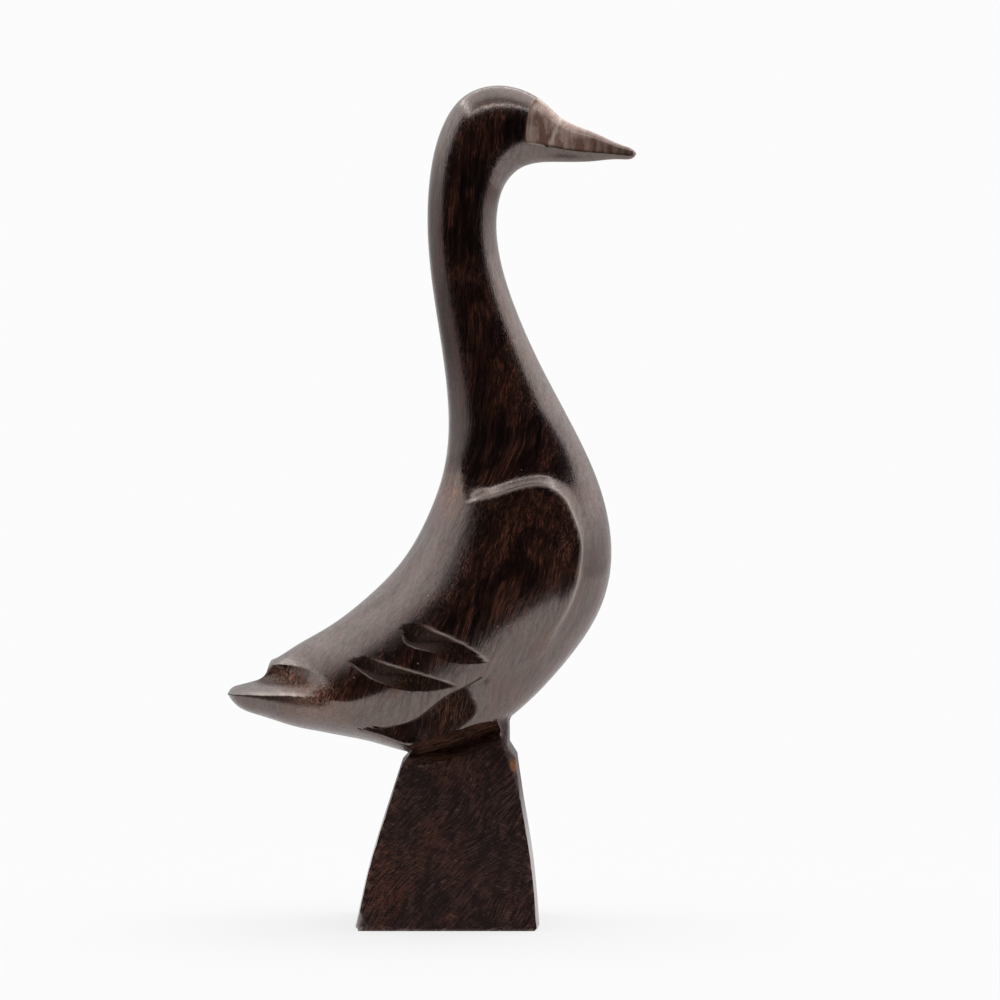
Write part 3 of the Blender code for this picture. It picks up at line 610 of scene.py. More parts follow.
    def before_cheek(self, places):
        """1 on the bill and its scoop, 0 behind the cheek's edge."""
        cheek = self.cheek.offset(places)[0]
        return np.where(self.on_head(places), ramp(cheek, *BILL_FRONT), 0)

    def bill_share(self, places):
        """How much of the bill's pale wood shows at each place."""
        above_edge = ramp(self.bill_side.offset(places)[0], *BILL_ABOVE)
        tip = 1 - BILL_TIP_LOSS * ramp(places[:, 0], *BILL_TIP_FADE)
        return self.before_cheek(places) * above_edge * tip

    def painted_edge_highlights(self, places):
        """How strongly the painted highlight shows on the edges of bill, cheek, wing, tail and feathers.
        """
        base = painted_line_highlight(self.base.offset(places), *BILL_BASE_HIGHLIGHT)
        cheek, passed = self.cheek.offset(places)
        cheek = painted_line_highlight((cheek - CHEEK_LINE_SHIFT, passed), *CHEEK_HIGHLIGHT)
        above_edge = ramp(self.bill_side.offset(places)[0], 0, HIGHLIGHT_ABOVE_BILL_SIDE)
        edge = np.maximum(base, cheek) * self.before_cheek(places) * above_edge
        ridge, passed = self.ridge.offset(places)
        edge = np.maximum(edge, painted_line_highlight((ridge, passed), *TAIL_RIDGE_HIGHLIGHT) * (ridge > 0))
        edge = np.maximum(edge, painted_line_highlight(self.wing.offset(places), *WING_EDGE_HIGHLIGHT))
        for pair in self.feathers:
            edge = np.maximum(edge, painted_line_highlight(pair[0].offset(places), *FEATHER_HIGHLIGHT))
        return edge

    def crisp_lines(self):
        """Each crisp line, as a measure of spots: a number that changes sign there, and where
        that counts."""

        def beyond(line, shift=0.0):
            def measure(spots):
                distance, passed = line.offset(self.places(spots))
                return distance - shift, (passed > 0.001) & (passed < 0.999)

            return measure

        def valley(pair):
            def measure(spots):
                top, foot = self.feather_walls(pair, self.places(spots))
                return top - foot, (top > 0) & (foot > 0)

            return measure

        def bill_edge(spots):
            places = self.places(spots)
            cheek = self.cheek.offset(places)[0]
            share = (1 - np.cos(spots[:, 1])) / 2
            return share - BILL_EDGE_SHARE, (cheek > CHEEK_WALL / 2) & self.on_head(places)

        yield beyond(self.wing)
        yield beyond(self.wing, WING_WALL)
        yield beyond(self.thigh)
        yield beyond(self.thigh, THIGH_WALL)
        for pair in self.feathers:
            yield beyond(pair[0])
            yield beyond(pair[1])
            yield valley(pair)
        yield beyond(self.ridge)
        yield beyond(self.rim)
        yield beyond(self.rim, -TAIL_RIM_WALL)
        yield beyond(self.cheek)
        yield beyond(self.cheek, CHEEK_WALL)
        yield beyond(self.base)
        yield bill_edge


def figure_of(places):
    """How strongly the wood's warm figure shows at each place."""
    figure = np.zeros(len(places))
    for _, across, rise, half_width, half_height, strength in FIGURE_PATCHES:
        off_x = (places[:, 0] - across * MM) / (half_width * MM)
        off_z = (places[:, 1] - BLOCK_TOP - rise * MM) / (half_height * MM)
        figure += strength * np.exp(-(off_x**2 + off_z**2))
    return figure


def painted_line_highlight(offset, strength, full, gone, comes_in=None, goes_out=None):
    """How a carved line's painted highlight shows: strongest close to the line, and over its lit share.
    """
    distance, passed = offset
    shown = strength * ramp(np.abs(distance), gone, full)
    if comes_in:
        shown = shown * ramp(passed, *comes_in) * (1 - ramp(passed, *goes_out))
    return shown


def turn_in(share):
    """Fades a cut toward the outline, so that the outline keeps its place."""
    return ramp(share, 0, 0.12) * (1 - ramp(share, 0.7, 0.8))


def hand_waver(places):
    """The faint unevenness that hand sanding leaves."""
    scale = 1 / HAND_WAVER_LENGTH
    values = [noise.noise(Vector((x * scale, z * scale * 0.7, 3.1))) for x, z in places]
    return HAND_WAVER * np.array(values)


def wire_maths(operation, turned=False):
    """What a wire and another value make together, with the two turned round if asked."""

    def made(wire, other):
        first, second = (other, wire) if turned else (wire, other)
        values = {0: first, 1: second}
        return wire.tree.node("ShaderNodeMath", {"operation": operation}, values).out()

    return made


class Wire:
    """A node's output, so that node maths can be written as plain expressions."""

    def __init__(self, tree, socket):
        self.tree = tree
        self.socket = socket

    __add__ = wire_maths("ADD")
    __radd__ = wire_maths("ADD", turned=True)
    __sub__ = wire_maths("SUBTRACT")
    __rsub__ = wire_maths("SUBTRACT", turned=True)
    __mul__ = wire_maths("MULTIPLY")
    __truediv__ = wire_maths("DIVIDE")
    __rtruediv__ = wire_maths("DIVIDE", turned=True)
    least = wire_maths("MINIMUM")
    most = wire_maths("MAXIMUM")

    def between(self, start, end, low=0.0, high=1.0):
        """A soft rise from low to high as the value goes from start to end."""
        settings = {"interpolation_type": "SMOOTHSTEP"}
        values = {"Value": self, "From Min": start, "From Max": end, "To Min": low, "To Max": high}
        return self.tree.node("ShaderNodeMapRange", settings, values).out()


class Made:
    """A node that has been added, with its outputs as wires."""

    def __init__(self, tree, node):
        self.tree = tree
        self.node = node

    def out(self, name=0):
        return Wire(self.tree, self.node.outputs[name])


class Tree:
    """A node tree that is written down a line at a time."""

    def __init__(self, node_tree):
        self.nodes = node_tree.nodes
        self.links = node_tree.links

    def node(self, kind, settings=None, values=None):
        node = self.nodes.new(kind)
        for name, setting in (settings or {}).items():
            setattr(node, name, setting)
        for name, value in (values or {}).items():
            self.feed(node.inputs[name], value)
        return Made(self, node)

    def feed(self, socket, value):
        if isinstance(value, Wire):
            self.links.new(value.socket, socket)
        else:
            socket.default_value = value

    def colour_mix(self, share, first, second):
        made = self.node("ShaderNodeMix", {"data_type": "RGBA", "clamp_factor": True})
        self.feed(made.node.inputs[0], share)
        self.feed(made.node.inputs[6], first)
        self.feed(made.node.inputs[7], second)
        return Wire(self, made.node.outputs[2])

    def value_mix(self, share, first, second):
        return first + (second - first) * share

    def noise(self, vector, scale=1.0, detail=2.0):
        values = {"Vector": vector, "Scale": scale, "Detail": detail}
        return self.node("ShaderNodeTexNoise", None, values).out()

    def stretched(self, vector, sizes, lean=0.0):
        """A pattern's own axes: the vector leant, in degrees, and stretched to sizes in mm."""
        values = {
            "Vector": vector,
            "Rotation": (0, math.radians(lean), 0),
            "Scale": [size * MM for size in sizes],
        }
        return self.node("ShaderNodeMapping", {"vector_type": "TEXTURE"}, values).out()

    def pattern(self, vector, sizes, detail, lean=0.0):
        return self.noise(self.stretched(vector, sizes, lean), 1.0, detail)

    def vector_maths(self, operation, first, values, output=0):
        settings = {"operation": operation}
        return self.node("ShaderNodeVectorMath", settings, {0: first, **values}).out(output)

    def parts(self, vector):
        split = self.node("ShaderNodeSeparateXYZ", None, {0: vector})
        return [split.out(axis) for axis in "XYZ"]

    def joined(self, x, y, z):
        return self.node("ShaderNodeCombineXYZ", None, {"X": x, "Y": y, "Z": z}).out()

    def attribute(self, name):
        return self.node("ShaderNodeAttribute", {"attribute_name": name}).out("Fac")


def empty_tree(owner):
    """The owner's node tree, cleared to be written anew."""
    owner.use_nodes = True
    owner.node_tree.nodes.clear()
    return Tree(owner.node_tree)


def spots_of(sheet):
    """Every vertex of the flat sheet as a spot: length passed, turn around the rib."""
    flat = np.array([vertex.co[:2] for vertex in sheet.verts], float)
    flat[:, 1] /= SPOT_SCALE
    return flat


def plain_sheet(form):
    """The goose's side laid flat: a grid of stations and rows, with one vertex at each tip."""
    stations = []
    for start, end, reach in zip(form.knots[:-1], form.knots[1:], form.reaches):
        steps = max(2, round(reach / STATION_STEP))
        stations += [start + (end - start) * i / steps for i in range(steps)]
    stations = stations[1:]
    sheet = bmesh.new()
    columns = []
    for station in stations:
        turns = [math.pi * i / SIDE_ROWS for i in range(SIDE_ROWS + 1)]
        columns.append([sheet.verts.new((station, turn * SPOT_SCALE, 0)) for turn in turns])
    for left, right in zip(columns[:-1], columns[1:]):
        for i in range(SIDE_ROWS):
            sheet.faces.new((left[i], right[i], right[i + 1], left[i + 1]))
    middle = math.pi / 2 * SPOT_SCALE
    first = sheet.verts.new((0, middle, 0))
    last = sheet.verts.new((form.length, middle, 0))
    for i in range(SIDE_ROWS):
        sheet.faces.new((first, columns[0][i], columns[0][i + 1]))
        sheet.faces.new((last, columns[-1][i + 1], columns[-1][i]))
    return sheet


def crossings(sheet, measure):
    """Edges that a crisp line crosses, and the share of each edge where it does."""
    spots = spots_of(sheet)
    values, valid = measure(spots)
    sheet.verts.index_update()
    pairs = np.array([[edge.verts[0].index, edge.verts[1].index] for edge in sheet.edges])
    across = valid[pairs].all(1) & (values[pairs[:, 0]] * values[pairs[:, 1]] < 0)
    sheet.edges.ensure_lookup_table()
    found = [sheet.edges[i] for i in np.flatnonzero(across)]
    starts = spots[pairs[across, 0]]
    steps = spots[pairs[across, 1]] - starts
    sign = np.sign(values[pairs[across, 0]])
    low = np.zeros(len(found))
    high = np.ones(len(found))
    for _ in range(14):
        middle = (low + high) / 2
        same = np.sign(measure(starts + steps * middle[:, None])[0]) == sign
        low = np.where(same, middle, low)
        high = np.where(same, high, middle)
    return list(zip(found, (low + high) / 2))


def score(sheet, measure, marked):
    """Cuts a crisp line into the sheet: near vertices slide onto it, far edges are split."""
    found = crossings(sheet, measure)
    slides = {}
    for edge, share in found:
        near = edge.verts[0] if share < 0.5 else edge.verts[1]
        reach = min(share, 1 - share)
        if reach > 0.24 or near in marked or (near.is_boundary and not edge.is_boundary):
            continue
        if near not in slides or reach < slides[near][0]:
            slides[near] = (reach, edge.verts[0].co.lerp(edge.verts[1].co, share))
    for vertex, (_, spot) in slides.items():
        vertex.co = spot
    touched = set(slides)
    for edge, share in found:
        if edge.verts[0] not in slides and edge.verts[1] not in slides:
            touched.add(bmesh.utils.edge_split(edge, edge.verts[0], share)[1])
    bmesh.ops.connect_verts(sheet, verts=list(touched))
    bmesh.ops.triangulate(sheet, faces=[face for face in sheet.faces if len(face.verts) > 3])
    marked |= touched


def goose_mesh(form):
    """Both carved sides of the goose, sharing the vertices of the outline."""
    sheet = plain_sheet(form)
    bmesh.ops.triangulate(sheet, faces=sheet.faces[:])
    marked = set()
    for measure in form.crisp_lines():
        score(sheet, measure, marked)
    sheet.verts.index_update()
    sheet.verts.ensure_lookup_table()
    spots = spots_of(sheet)
    places = form.places(spots)
    heights = form.heights(spots)
    rim = np.array([vertex.is_boundary for vertex in sheet.verts])
    heights[rim] = 0
    triangles = [[vertex.index for vertex in face.verts] for face in sheet.faces]
    sheet.free()
    far = np.arange(len(spots))
    far[~rim] = len(spots) + np.arange((~rim).sum())
    near_side = np.column_stack([places[:, 0], -heights, places[:, 1]])
    far_side = np.column_stack([places[:, 0], heights, places[:, 1]])[~rim]
    points = np.vstack([near_side, far_side])
    faces = triangles + [[far[i] for i in reversed(face)] for face in triangles]
    mesh = bpy.data.meshes.new("goose")
    mesh.from_pydata(points.tolist(), [], faces)
    mesh.update()
    paint(mesh, "block", np.zeros(len(points)))
    return mesh


def paint(mesh, name, values):
    """Keeps one number for every vertex, for the material to read."""
    if name not in mesh.attributes:
        mesh.attributes.new(name, "FLOAT", "POINT")
    mesh.attributes[name].data.foreach_set("value", np.asarray(values, np.float32))


def painted(mesh, name):
    values = np.zeros(len(mesh.vertices), np.float32)
    mesh.attributes[name].data.foreach_get("value", values)
    return values.astype(float)


def points_of(mesh):
    points = np.zeros(len(mesh.vertices) * 3, np.float32)
    mesh.vertices.foreach_get("co", points)
    return points.reshape(-1, 3).astype(float)


def block_ring(level, inset):
    """One closed ring of the block's skin, its corners cut."""
    left, left_rise, right, right_rise, width = level
    slope = (right_rise - left_rise) / (right - left)
    half = width / 2 - inset
    low, high = left + inset, right - inset
    deep = half - CORNER_DEPTH
    corners = (
        (low + LEFT_CHAMFER, -half), (high - CORNER_CHAMFER, -half), (high, -deep), (high, deep),
        (high - CORNER_CHAMFER, half), (low + LEFT_CHAMFER, half), (low, deep), (low, -deep),
    )
    ring = []
    for i, (x, y) in enumerate(corners):
        next_x, next_y = corners[(i + 1) % len(corners)]
        pieces = RING_PIECES[i % 4]
        for j in range(pieces):
            across = x + (next_x - x) * j / pieces
            along = y + (next_y - y) * j / pieces
            ring.append((across, along, left_rise + (across - left) * slope))
    return ring


def named_levels():
    """The named levels in metres, and the mean height of each."""
    named = np.array([level[1:] for level in BLOCK_LEVELS]) * MM
    return named, (named[:, 1] + named[:, 3]) / 2


def block_levels():
    """The block's levels, eased between the named ones up to the shoulder."""
    named, rises = named_levels()
    eased, knots = named[:EASED_LEVELS + 1], rises[:EASED_LEVELS + 1]
    bends = natural_spline(knots, eased)
    levels = []
    for i, (low, high) in enumerate(zip(rises[:-1], rises[1:])):
        count = max(2, round((high - low) / BLOCK_STEP))
        shares = np.arange(count) / count
        if i < EASED_LEVELS:
            levels += list(spline_at(knots, eased, bends, low + (high - low) * shares))
        else:
            levels += [named[i] * (1 - share) + named[i + 1] * share for share in shares]
    return levels + [named[-1]]


def block_mesh():
    """The rough block, as a fine skin that the rasp can mark."""
    block = bmesh.new()
    levels = block_levels()
    rings = [block_ring(levels[0], FOOT_CHAMFER)]
    for level in levels:
        rings.append(block_ring(level, 0.0))
    rings[1] = [(x, y, z + FOOT_CHAMFER) for x, y, z in rings[1]]
    rings = [[block.verts.new(point) for point in ring] for ring in rings]
    for lower, upper in zip(rings[:-1], rings[1:]):
        for i in range(len(lower)):
            j = (i + 1) % len(lower)
            block.faces.new((lower[i], lower[j], upper[j], upper[i]))
    block.faces.new(list(reversed(rings[0])))
    block.faces.new(rings[-1])
    for corner, outward, depth in BREAKS:
        break_corner(block, corner, outward, depth)
    mesh = bpy.data.meshes.new("block")
    block.to_mesh(mesh)
    block.free()
    paint(mesh, "block", np.ones(len(mesh.vertices)))
    near, planed = edge_closeness(points_of(mesh))
    paint(mesh, "corner", near)
    paint(mesh, "planed", planed)
    return mesh


def edge_closeness(points):
    """How near each point is to an upright corner or the foot, and how planed its face is."""
    named, rises = named_levels()
    left = np.interp(points[:, 2], rises, named[:, 0])
    right = np.interp(points[:, 2], rises, named[:, 2])
    half = np.interp(points[:, 2], rises, named[:, 4]) / 2
    off_side = np.minimum(points[:, 0] - left, right - points[:, 0])
    off_corner = off_side + half - np.abs(points[:, 1])
    near = np.maximum(1 - off_corner / CORNER_WEAR_AND_SHEEN, 1 - points[:, 2] / FOOT_WEAR)
    planed = ramp(half - np.abs(points[:, 1]), 0, PLANED_INSET)
    planed = planed * (1 - ramp(off_side, CORNER_CHAMFER, PLANED_WIDTH))
    planed = planed * (1 - ramp(points[:, 2], *PLANED_RISE))
    return np.clip(near, 0, 1), planed


def break_corner(block, corner, outward, depth):
    """Presses the skin back to an uneven break across one corner."""
    outward = Vector(outward).normalized()
    place = Vector(corner) * MM - outward * depth * MM
    for vertex in block.verts:
        beyond = (vertex.co - place).dot(outward)
        rough = noise.noise(vertex.co / BREAK_GRAIN) * BREAK_ROUGHNESS
        if beyond + rough > 0 and vertex.co.z > 0:
            vertex.co -= outward * (beyond + rough)
            vertex.co.z = max(vertex.co.z, 0)


def rasp_tree():
    """Geometry nodes that mark the block's skin with rasp swirls, saw lines and small dents."""
    group = bpy.data.node_groups.new("rasped block", "GeometryNodeTree")
    interface = group.interface
    interface.new_socket("Skin", in_out="INPUT", socket_type="NodeSocketGeometry")
    for name, size in RASP_SIZES:
        socket = interface.new_socket(name, in_out="INPUT", socket_type="NodeSocketFloat")
        socket.default_value = size
    interface.new_socket("Wood", in_out="INPUT", socket_type="NodeSocketMaterial")
    interface.new_socket("Skin", in_out="OUTPUT", socket_type="NodeSocketGeometry")
    tree = Tree(group)
    given = tree.node("NodeGroupInput")
    place = tree.node("GeometryNodeInputPosition").out()
    normal = tree.node("GeometryNodeInputNormal").out()
    x, y, z = tree.parts(place)
    # Swirls run from lower left to upper right, bent by a slow noise
    wide, steep = SWIRL_TURN
    round_block = x + y * 0.8
    bend = (tree.noise(place, SWIRL_BEND_SCALE, 1.0) - 0.5) * SWIRL_BEND
    swirl_across = (round_block * wide - z * steep + bend) / given.out("Swirl width")
    swirl_along = (round_block * steep + z * wide) / (given.out("Swirl width") * SWIRL_LENGTHS)
    swirl = tree.noise(tree.joined(swirl_across, swirl_along, 4.0))
    swirl = (swirl - 0.5) * 2 * given.out("Swirl depth")
    # Saw lines run along the channel, on the top of the block only
    saw_height = z - x * SAW_LEAN
    saw_along = (x + z * SAW_LEAN) / (given.out("Saw width") * SAW_LENGTHS)
    saw = tree.noise(tree.joined(saw_height / given.out("Saw width"), saw_along, 9.0), 1.0, 1.0)
    saw = (saw - 0.5) * 2 * given.out("Saw depth") * saw_height.between(*SAW_BAND)
    # Dents break the corners and the foot's rim
    settings = {"data_type": "FLOAT"}
    corner = tree.node("GeometryNodeInputNamedAttribute", settings, {"Name": "corner"}).out()
    dents = tree.noise(place, 1 / given.out("Dent width"), 3.0)
    dent = dents.between(0.45, 0.7) * given.out("Dent depth") * corner
    inward = (swirl - swirl.most(0)) + (saw - saw.most(0)) - dent
    above_foot = z.between(0.0, 0.6 * MM)
    offset = tree.vector_maths("SCALE", normal, {"Scale": inward * above_foot})
    values = {"Geometry": given.out("Skin"), "Offset": offset}
    marked = tree.node("GeometryNodeSetPosition", None, values).out()
    real = tree.node("GeometryNodeRealizeInstances", None, {0: marked}).out()
    values = {"Geometry": real, "Material": given.out("Wood")}
    finished = tree.node("GeometryNodeSetMaterial", None, values).out()
    tree.node("NodeGroupOutput", None, {0: finished})
    return group


def channel_mesh(side):
    """The gouge's path between belly and block: a wedge with one open end."""
    cutter = bmesh.new()
    rings = []
    for across, low, high, depth in CHANNEL:
        inside = side * (CHANNEL_FACE - depth * MM)
        apex = low + (high - low) * CHANNEL_APEX_SHARE
        flare = (CHANNEL_MOUTH - CHANNEL_FACE) / (depth * MM)
        ring = (
            (across * MM, side * CHANNEL_MOUTH, (low - (apex - low) * flare) * MM),
            (across * MM, inside, apex * MM),
            (across * MM, side * CHANNEL_MOUTH, (high + (high - apex) * flare) * MM),
        )
        rings.append([cutter.verts.new(point) for point in ring])
    for first, second in zip(rings[:-1], rings[1:]):
        for i in range(3):
            j = (i + 1) % 3
            cutter.faces.new((first[i], first[j], second[j], second[i]))
    cutter.faces.new(rings[0])
    across, rise = CHANNEL_END
    end = cutter.verts.new((across * MM, side * CHANNEL_MOUTH, rise * MM))
    for i in range(3):
        cutter.faces.new((rings[-1][(i + 1) % 3], rings[-1][i], end))
    bmesh.ops.recalc_face_normals(cutter, faces=cutter.faces[:])
    bmesh.ops.triangulate(cutter, faces=cutter.faces[:])
    mesh = bpy.data.meshes.new("channel")
    cutter.to_mesh(mesh)
    cutter.free()
    paint(mesh, "block", np.full(len(mesh.vertices), 2.0))
    return mesh


def placed(name, mesh):
    thing = bpy.data.objects.new(name, mesh)
    bpy.context.scene.collection.objects.link(thing)
    return thing


def settled(thing):
    """The thing's mesh with its modifiers worked in."""
    worked = thing.evaluated_get(bpy.context.evaluated_depsgraph_get())
    mesh = bpy.data.meshes.new_from_object(worked)
    thing.modifiers.clear()
    thing.data = mesh


def combine(body, tool, operation):
    """Joins or cuts the body with the tool, keeps the result and drops the tool."""
    modifier = body.modifiers.new(operation, "BOOLEAN")
    modifier.operation = operation
    modifier.solver = "MANIFOLD"
    modifier.object = tool
    settled(body)
    bpy.data.objects.remove(tool, do_unlink=True)


def rasped_block(wood):
    """The block with its tool marks worked into the mesh."""
    block = placed("block", block_mesh())
    modifier = block.modifiers.new("rasp", "NODES")
    modifier.node_group = rasp_tree()
    for item in modifier.node_group.interface.items_tree:
        if item.name == "Wood":
            modifier[item.identifier] = wood
    settled(block)
    return block


def soften_join(mesh):
    """Works a small hollow into the join of goose and block."""
    skin = bmesh.new()
    skin.from_mesh(mesh)
    skin.verts.ensure_lookup_table()
    layer = skin.verts.layers.float["block"]
    seam = []
    for edge in skin.edges:
        first, second = edge.verts[0][layer], edge.verts[1][layer]
        if abs(first - second) > 0.5 and max(first, second) < 1.5:
            seam.append((edge.verts[0].co + edge.verts[1].co) / 2)
    tree = kdtree.KDTree(len(seam))
    for i, place in enumerate(seam):
        tree.insert(place, i)
    tree.balance()
    near = []
    for vertex in skin.verts:
        distance = tree.find(vertex.co)[2]
        if distance < FILLET_REACH and vertex[layer] < 1.5:
            near.append(vertex)
    axes = {"use_axis_x": True, "use_axis_y": True, "use_axis_z": True}
    for _ in range(FILLET_ROUNDS):
        bmesh.ops.smooth_vert(skin, verts=near, factor=0.5, **axes)
    skin.to_mesh(mesh)
    skin.free()


def blurred(mesh, name, rounds):
    """The painted numbers, each mixed with its neighbours' a few times."""
    values = painted(mesh, name)
    edges = np.zeros(len(mesh.edges) * 2, np.int32)
    mesh.edges.foreach_get("vertices", edges)
    edges = edges.reshape(-1, 2)
    counts = np.bincount(edges.ravel(), minlength=len(values))
    for _ in range(rounds):
        sums = np.bincount(edges[:, 0], values[edges[:, 1]], len(values))
        sums += np.bincount(edges[:, 1], values[edges[:, 0]], len(values))
        values = (values + sums / np.maximum(counts, 1)) / 2
    return values


def carved_goose(form, wood):
    """Goose and block as the one piece that they are."""
    goose = placed("carved_goose", goose_mesh(form))
    combine(goose, rasped_block(wood), "UNION")
    soften_join(goose.data)
    for side in (-1, 1):
        combine(goose, placed("channel", channel_mesh(side)), "DIFFERENCE")
    mesh = goose.data
    mesh.name = "carved_goose"
    paint_carving(mesh, form)
    mesh.materials.clear()
    mesh.materials.append(wood)
    mesh.shade_smooth()
    mesh.set_sharp_from_angle(angle=math.radians(SHARP_TURN))
    return goose


def paint_carving(mesh, form):
    """Paints on the mesh what the wood's material reads from it."""
    points = points_of(mesh)
    places = points[:, [0, 2]]
    block = painted(mesh, "block")
    paint(mesh, "gouged", ramp(block, 1.0, 2.0))
    paint(mesh, "block", np.clip(block, 0, 1))
    paint(mesh, "block", blurred(mesh, "block", 3))
    off_block = painted(mesh, "block") < 0.5
    # The cut numbers also carry a painted shade: the dark dull band under the tail's ridge
    paint(mesh, "cut", np.where(off_block, form.cuts_and_painted_shade(places), 0))
    paint(mesh, "cut", blurred(mesh, "cut", 1))
    paint(mesh, "bill", form.bill_share(places) * off_block)
    # Painted highlight: the edge numbers say where the carved edges are painted pale
    paint(mesh, "edge", form.painted_edge_highlights(places) * off_block)
    paint(mesh, "figure", figure_of(places))
    # Painted highlight on the channel's lower lip, kept with the corners' pale colour
    on_lip_face = ~off_block & (np.abs(points[:, 1]) > CHANNEL_LIP_FACE)
    lip = painted_line_highlight(CarvedLine(CHANNEL_LIP).offset(places), *LIP_HIGHLIGHT)
    paint(mesh, "corner", np.maximum(painted(mesh, "corner"), on_lip_face * lip))


class WoodGrain:
    """Patterns that run along the wood's grain, and the pores in it."""

    def __init__(self, tree, place):
        x, y, height = tree.parts(place)
        wander = (tree.noise(place, GRAIN_WANDER_SCALE) - 0.5) * GRAIN_WANDER
        across = x - height.least(NECK_START) * BODY_GRAIN_LEAN
        across = across - height.most(NECK_START) * NECK_GRAIN_LEAN + wander
        axes = tree.joined(across, y, height)
        self.zones = tree.pattern(axes, *ZONES).between(0.44, 0.58)
        self.bundles = tree.pattern(axes, *BUNDLES).between(0.38, 0.66)
        self.streaks = tree.pattern(axes, *STREAKS).between(0.36, 0.68)
        self.threads = tree.pattern(axes, *THREADS)
        self.strokes = self.threads.between(0.46, 0.64)
        self.bill = tree.pattern(axes, *BILL_FIGURE).between(0.38, 0.62)
        values = {"Vector": tree.stretched(axes, PORES), "Scale": 1.0}
        pores = tree.node("ShaderNodeTexVoronoi", None, values)
        chosen = tree.parts(pores.out("Color"))[0].between(0.86, 0.9)
        self.pores = pores.out("Distance").between(0.04, 0.09, 1.0, 0.0) * chosen


class RaspMarks:
    """Scratches of the rasp: swirls that bend round slow whirls, crossed ones, and grit."""

    def __init__(self, tree, place):
        values = {"Vector": place, "Scale": WHIRL_SCALE, "Detail": 1.0}
        whirl = tree.node("ShaderNodeTexNoise", None, values).out("Color")
        whirl = tree.vector_maths("SCALE", whirl, {"Scale": WHIRL_REACH})
        axes = tree.vector_maths("ADD", place, {1: whirl})
        self.swirls = tree.pattern(axes, *RASP_SWIRLS)
        self.crossed = tree.pattern(axes, *RASP_CROSSED)
        self.grit = tree.noise(place, GRIT_SCALE)
        self.all = self.swirls * 0.6 + self.crossed * 0.25 + self.grit * 0.15
        self.clouds = tree.pattern(axes, *BLOCK_CLOUDS).between(0.38, 0.60, 0.2, 1.0)


def polished_colour(tree, grain, figure, cut, bill):
    """Near-black wood with red streaks, the duller cuts with the painted shade under the tail's ridge,
    the warm figure, the bill, the painted highlight on the carved edges, and pores.
    """
    colour = tree.colour_mix(grain.zones * 0.9 + figure * 0.3, BLACK_WOOD, DARK_WOOD)
    bundled = 0.06 + grain.bundles * 0.14 + grain.zones * grain.bundles * 0.75
    red = grain.streaks * bundled * (grain.strokes * 0.6 + 0.5)
    red = red + figure * (grain.streaks * 0.22 + grain.strokes * 0.22)
    colour = tree.colour_mix(red, colour, RED_WOOD)
    cut_grain = tree.colour_mix(grain.threads.between(0.50, 0.66), BLACK_WOOD, CUT_WOOD)
    # The cuts' colour, which also paints the shade under the tail's ridge
    colour = tree.colour_mix(cut * 0.8, colour, cut_grain)
    colour = tree.colour_mix((figure - 0.4).most(0) * 1.7 * grain.strokes, colour, WARM_WOOD)
    bill_grain = tree.colour_mix(grain.bill, BILL_WOOD, BILL_PALE)
    colour = tree.colour_mix(bill * grain.threads.between(0.3, 0.6, 0.84, 0.94), colour, bill_grain)
    # Painted highlight: the carved edges are painted pale
    colour = tree.colour_mix(tree.attribute("edge") * 0.85, colour, EDGE_HIGHLIGHT_COLOUR)
    return tree.colour_mix(grain.pores * 0.8, colour, PALE_PORE)


def rasped_colour(tree, place, marks):
    """The block's maroon wood: scratched, weathered red to the left, pale where it is knocked, with
    painted reflection along the chamfered corners and a painted highlight on the channel's lip.
    """
    all_marks = marks.all
    shade = all_marks.between(0.43, 0.57) * marks.clouds
    colour = tree.colour_mix(shade, BLOCK_DARK, BLOCK_WOOD)
    toward_left = tree.parts(place)[0].between(-0.03, 0.02, 1.0, 0.25)
    weathered = tree.noise(place, WEATHER_SCALE, 3.0).between(0.42, 0.62) * toward_left
    colour = tree.colour_mix(weathered * all_marks.between(0.42, 0.62), colour, BLOCK_RED)
    scratched = marks.crossed.between(0.62, 0.68) * marks.swirls.between(0.48, 0.56)
    # The corners turn pale: partly knocked wood, partly painted reflection of the chamfered corners; the
    # channel's lip adds a painted highlight
    corner = tree.attribute("corner") * tree.noise(place, CORNER_SCALE).between(0.5, 0.62)
    for pale in (all_marks.between(0.60, 0.70) * 0.6, scratched * 0.5, corner * 0.8):
        colour = tree.colour_mix(pale, colour, BLOCK_PALE)
    off_chip = tree.vector_maths("DISTANCE", place, {1: CHIP_PLACE}, "Value")
    chip = off_chip.between(CHIP_REACH * 0.4, CHIP_REACH, 1.0, 0.0)
    return tree.colour_mix(chip * marks.grit.between(0.35, 0.55, 0.4, 1.0), colour, CHIP_WOOD)


def finish(tree, colour, roughness, relief, index, tint):
    """A surface of the wood with its own smoothness, relief and strength of reflection."""
    values = {"Strength": 1.0, "Distance": MM, "Height": relief}
    bump = tree.node("ShaderNodeBump", None, values).out()
    values = {"Base Color": colour, "Roughness": roughness, "Normal": bump}
    values.update({"IOR": index, "Specular Tint": tint})
    return tree.node("ShaderNodeBsdfPrincipled", None, values).out()


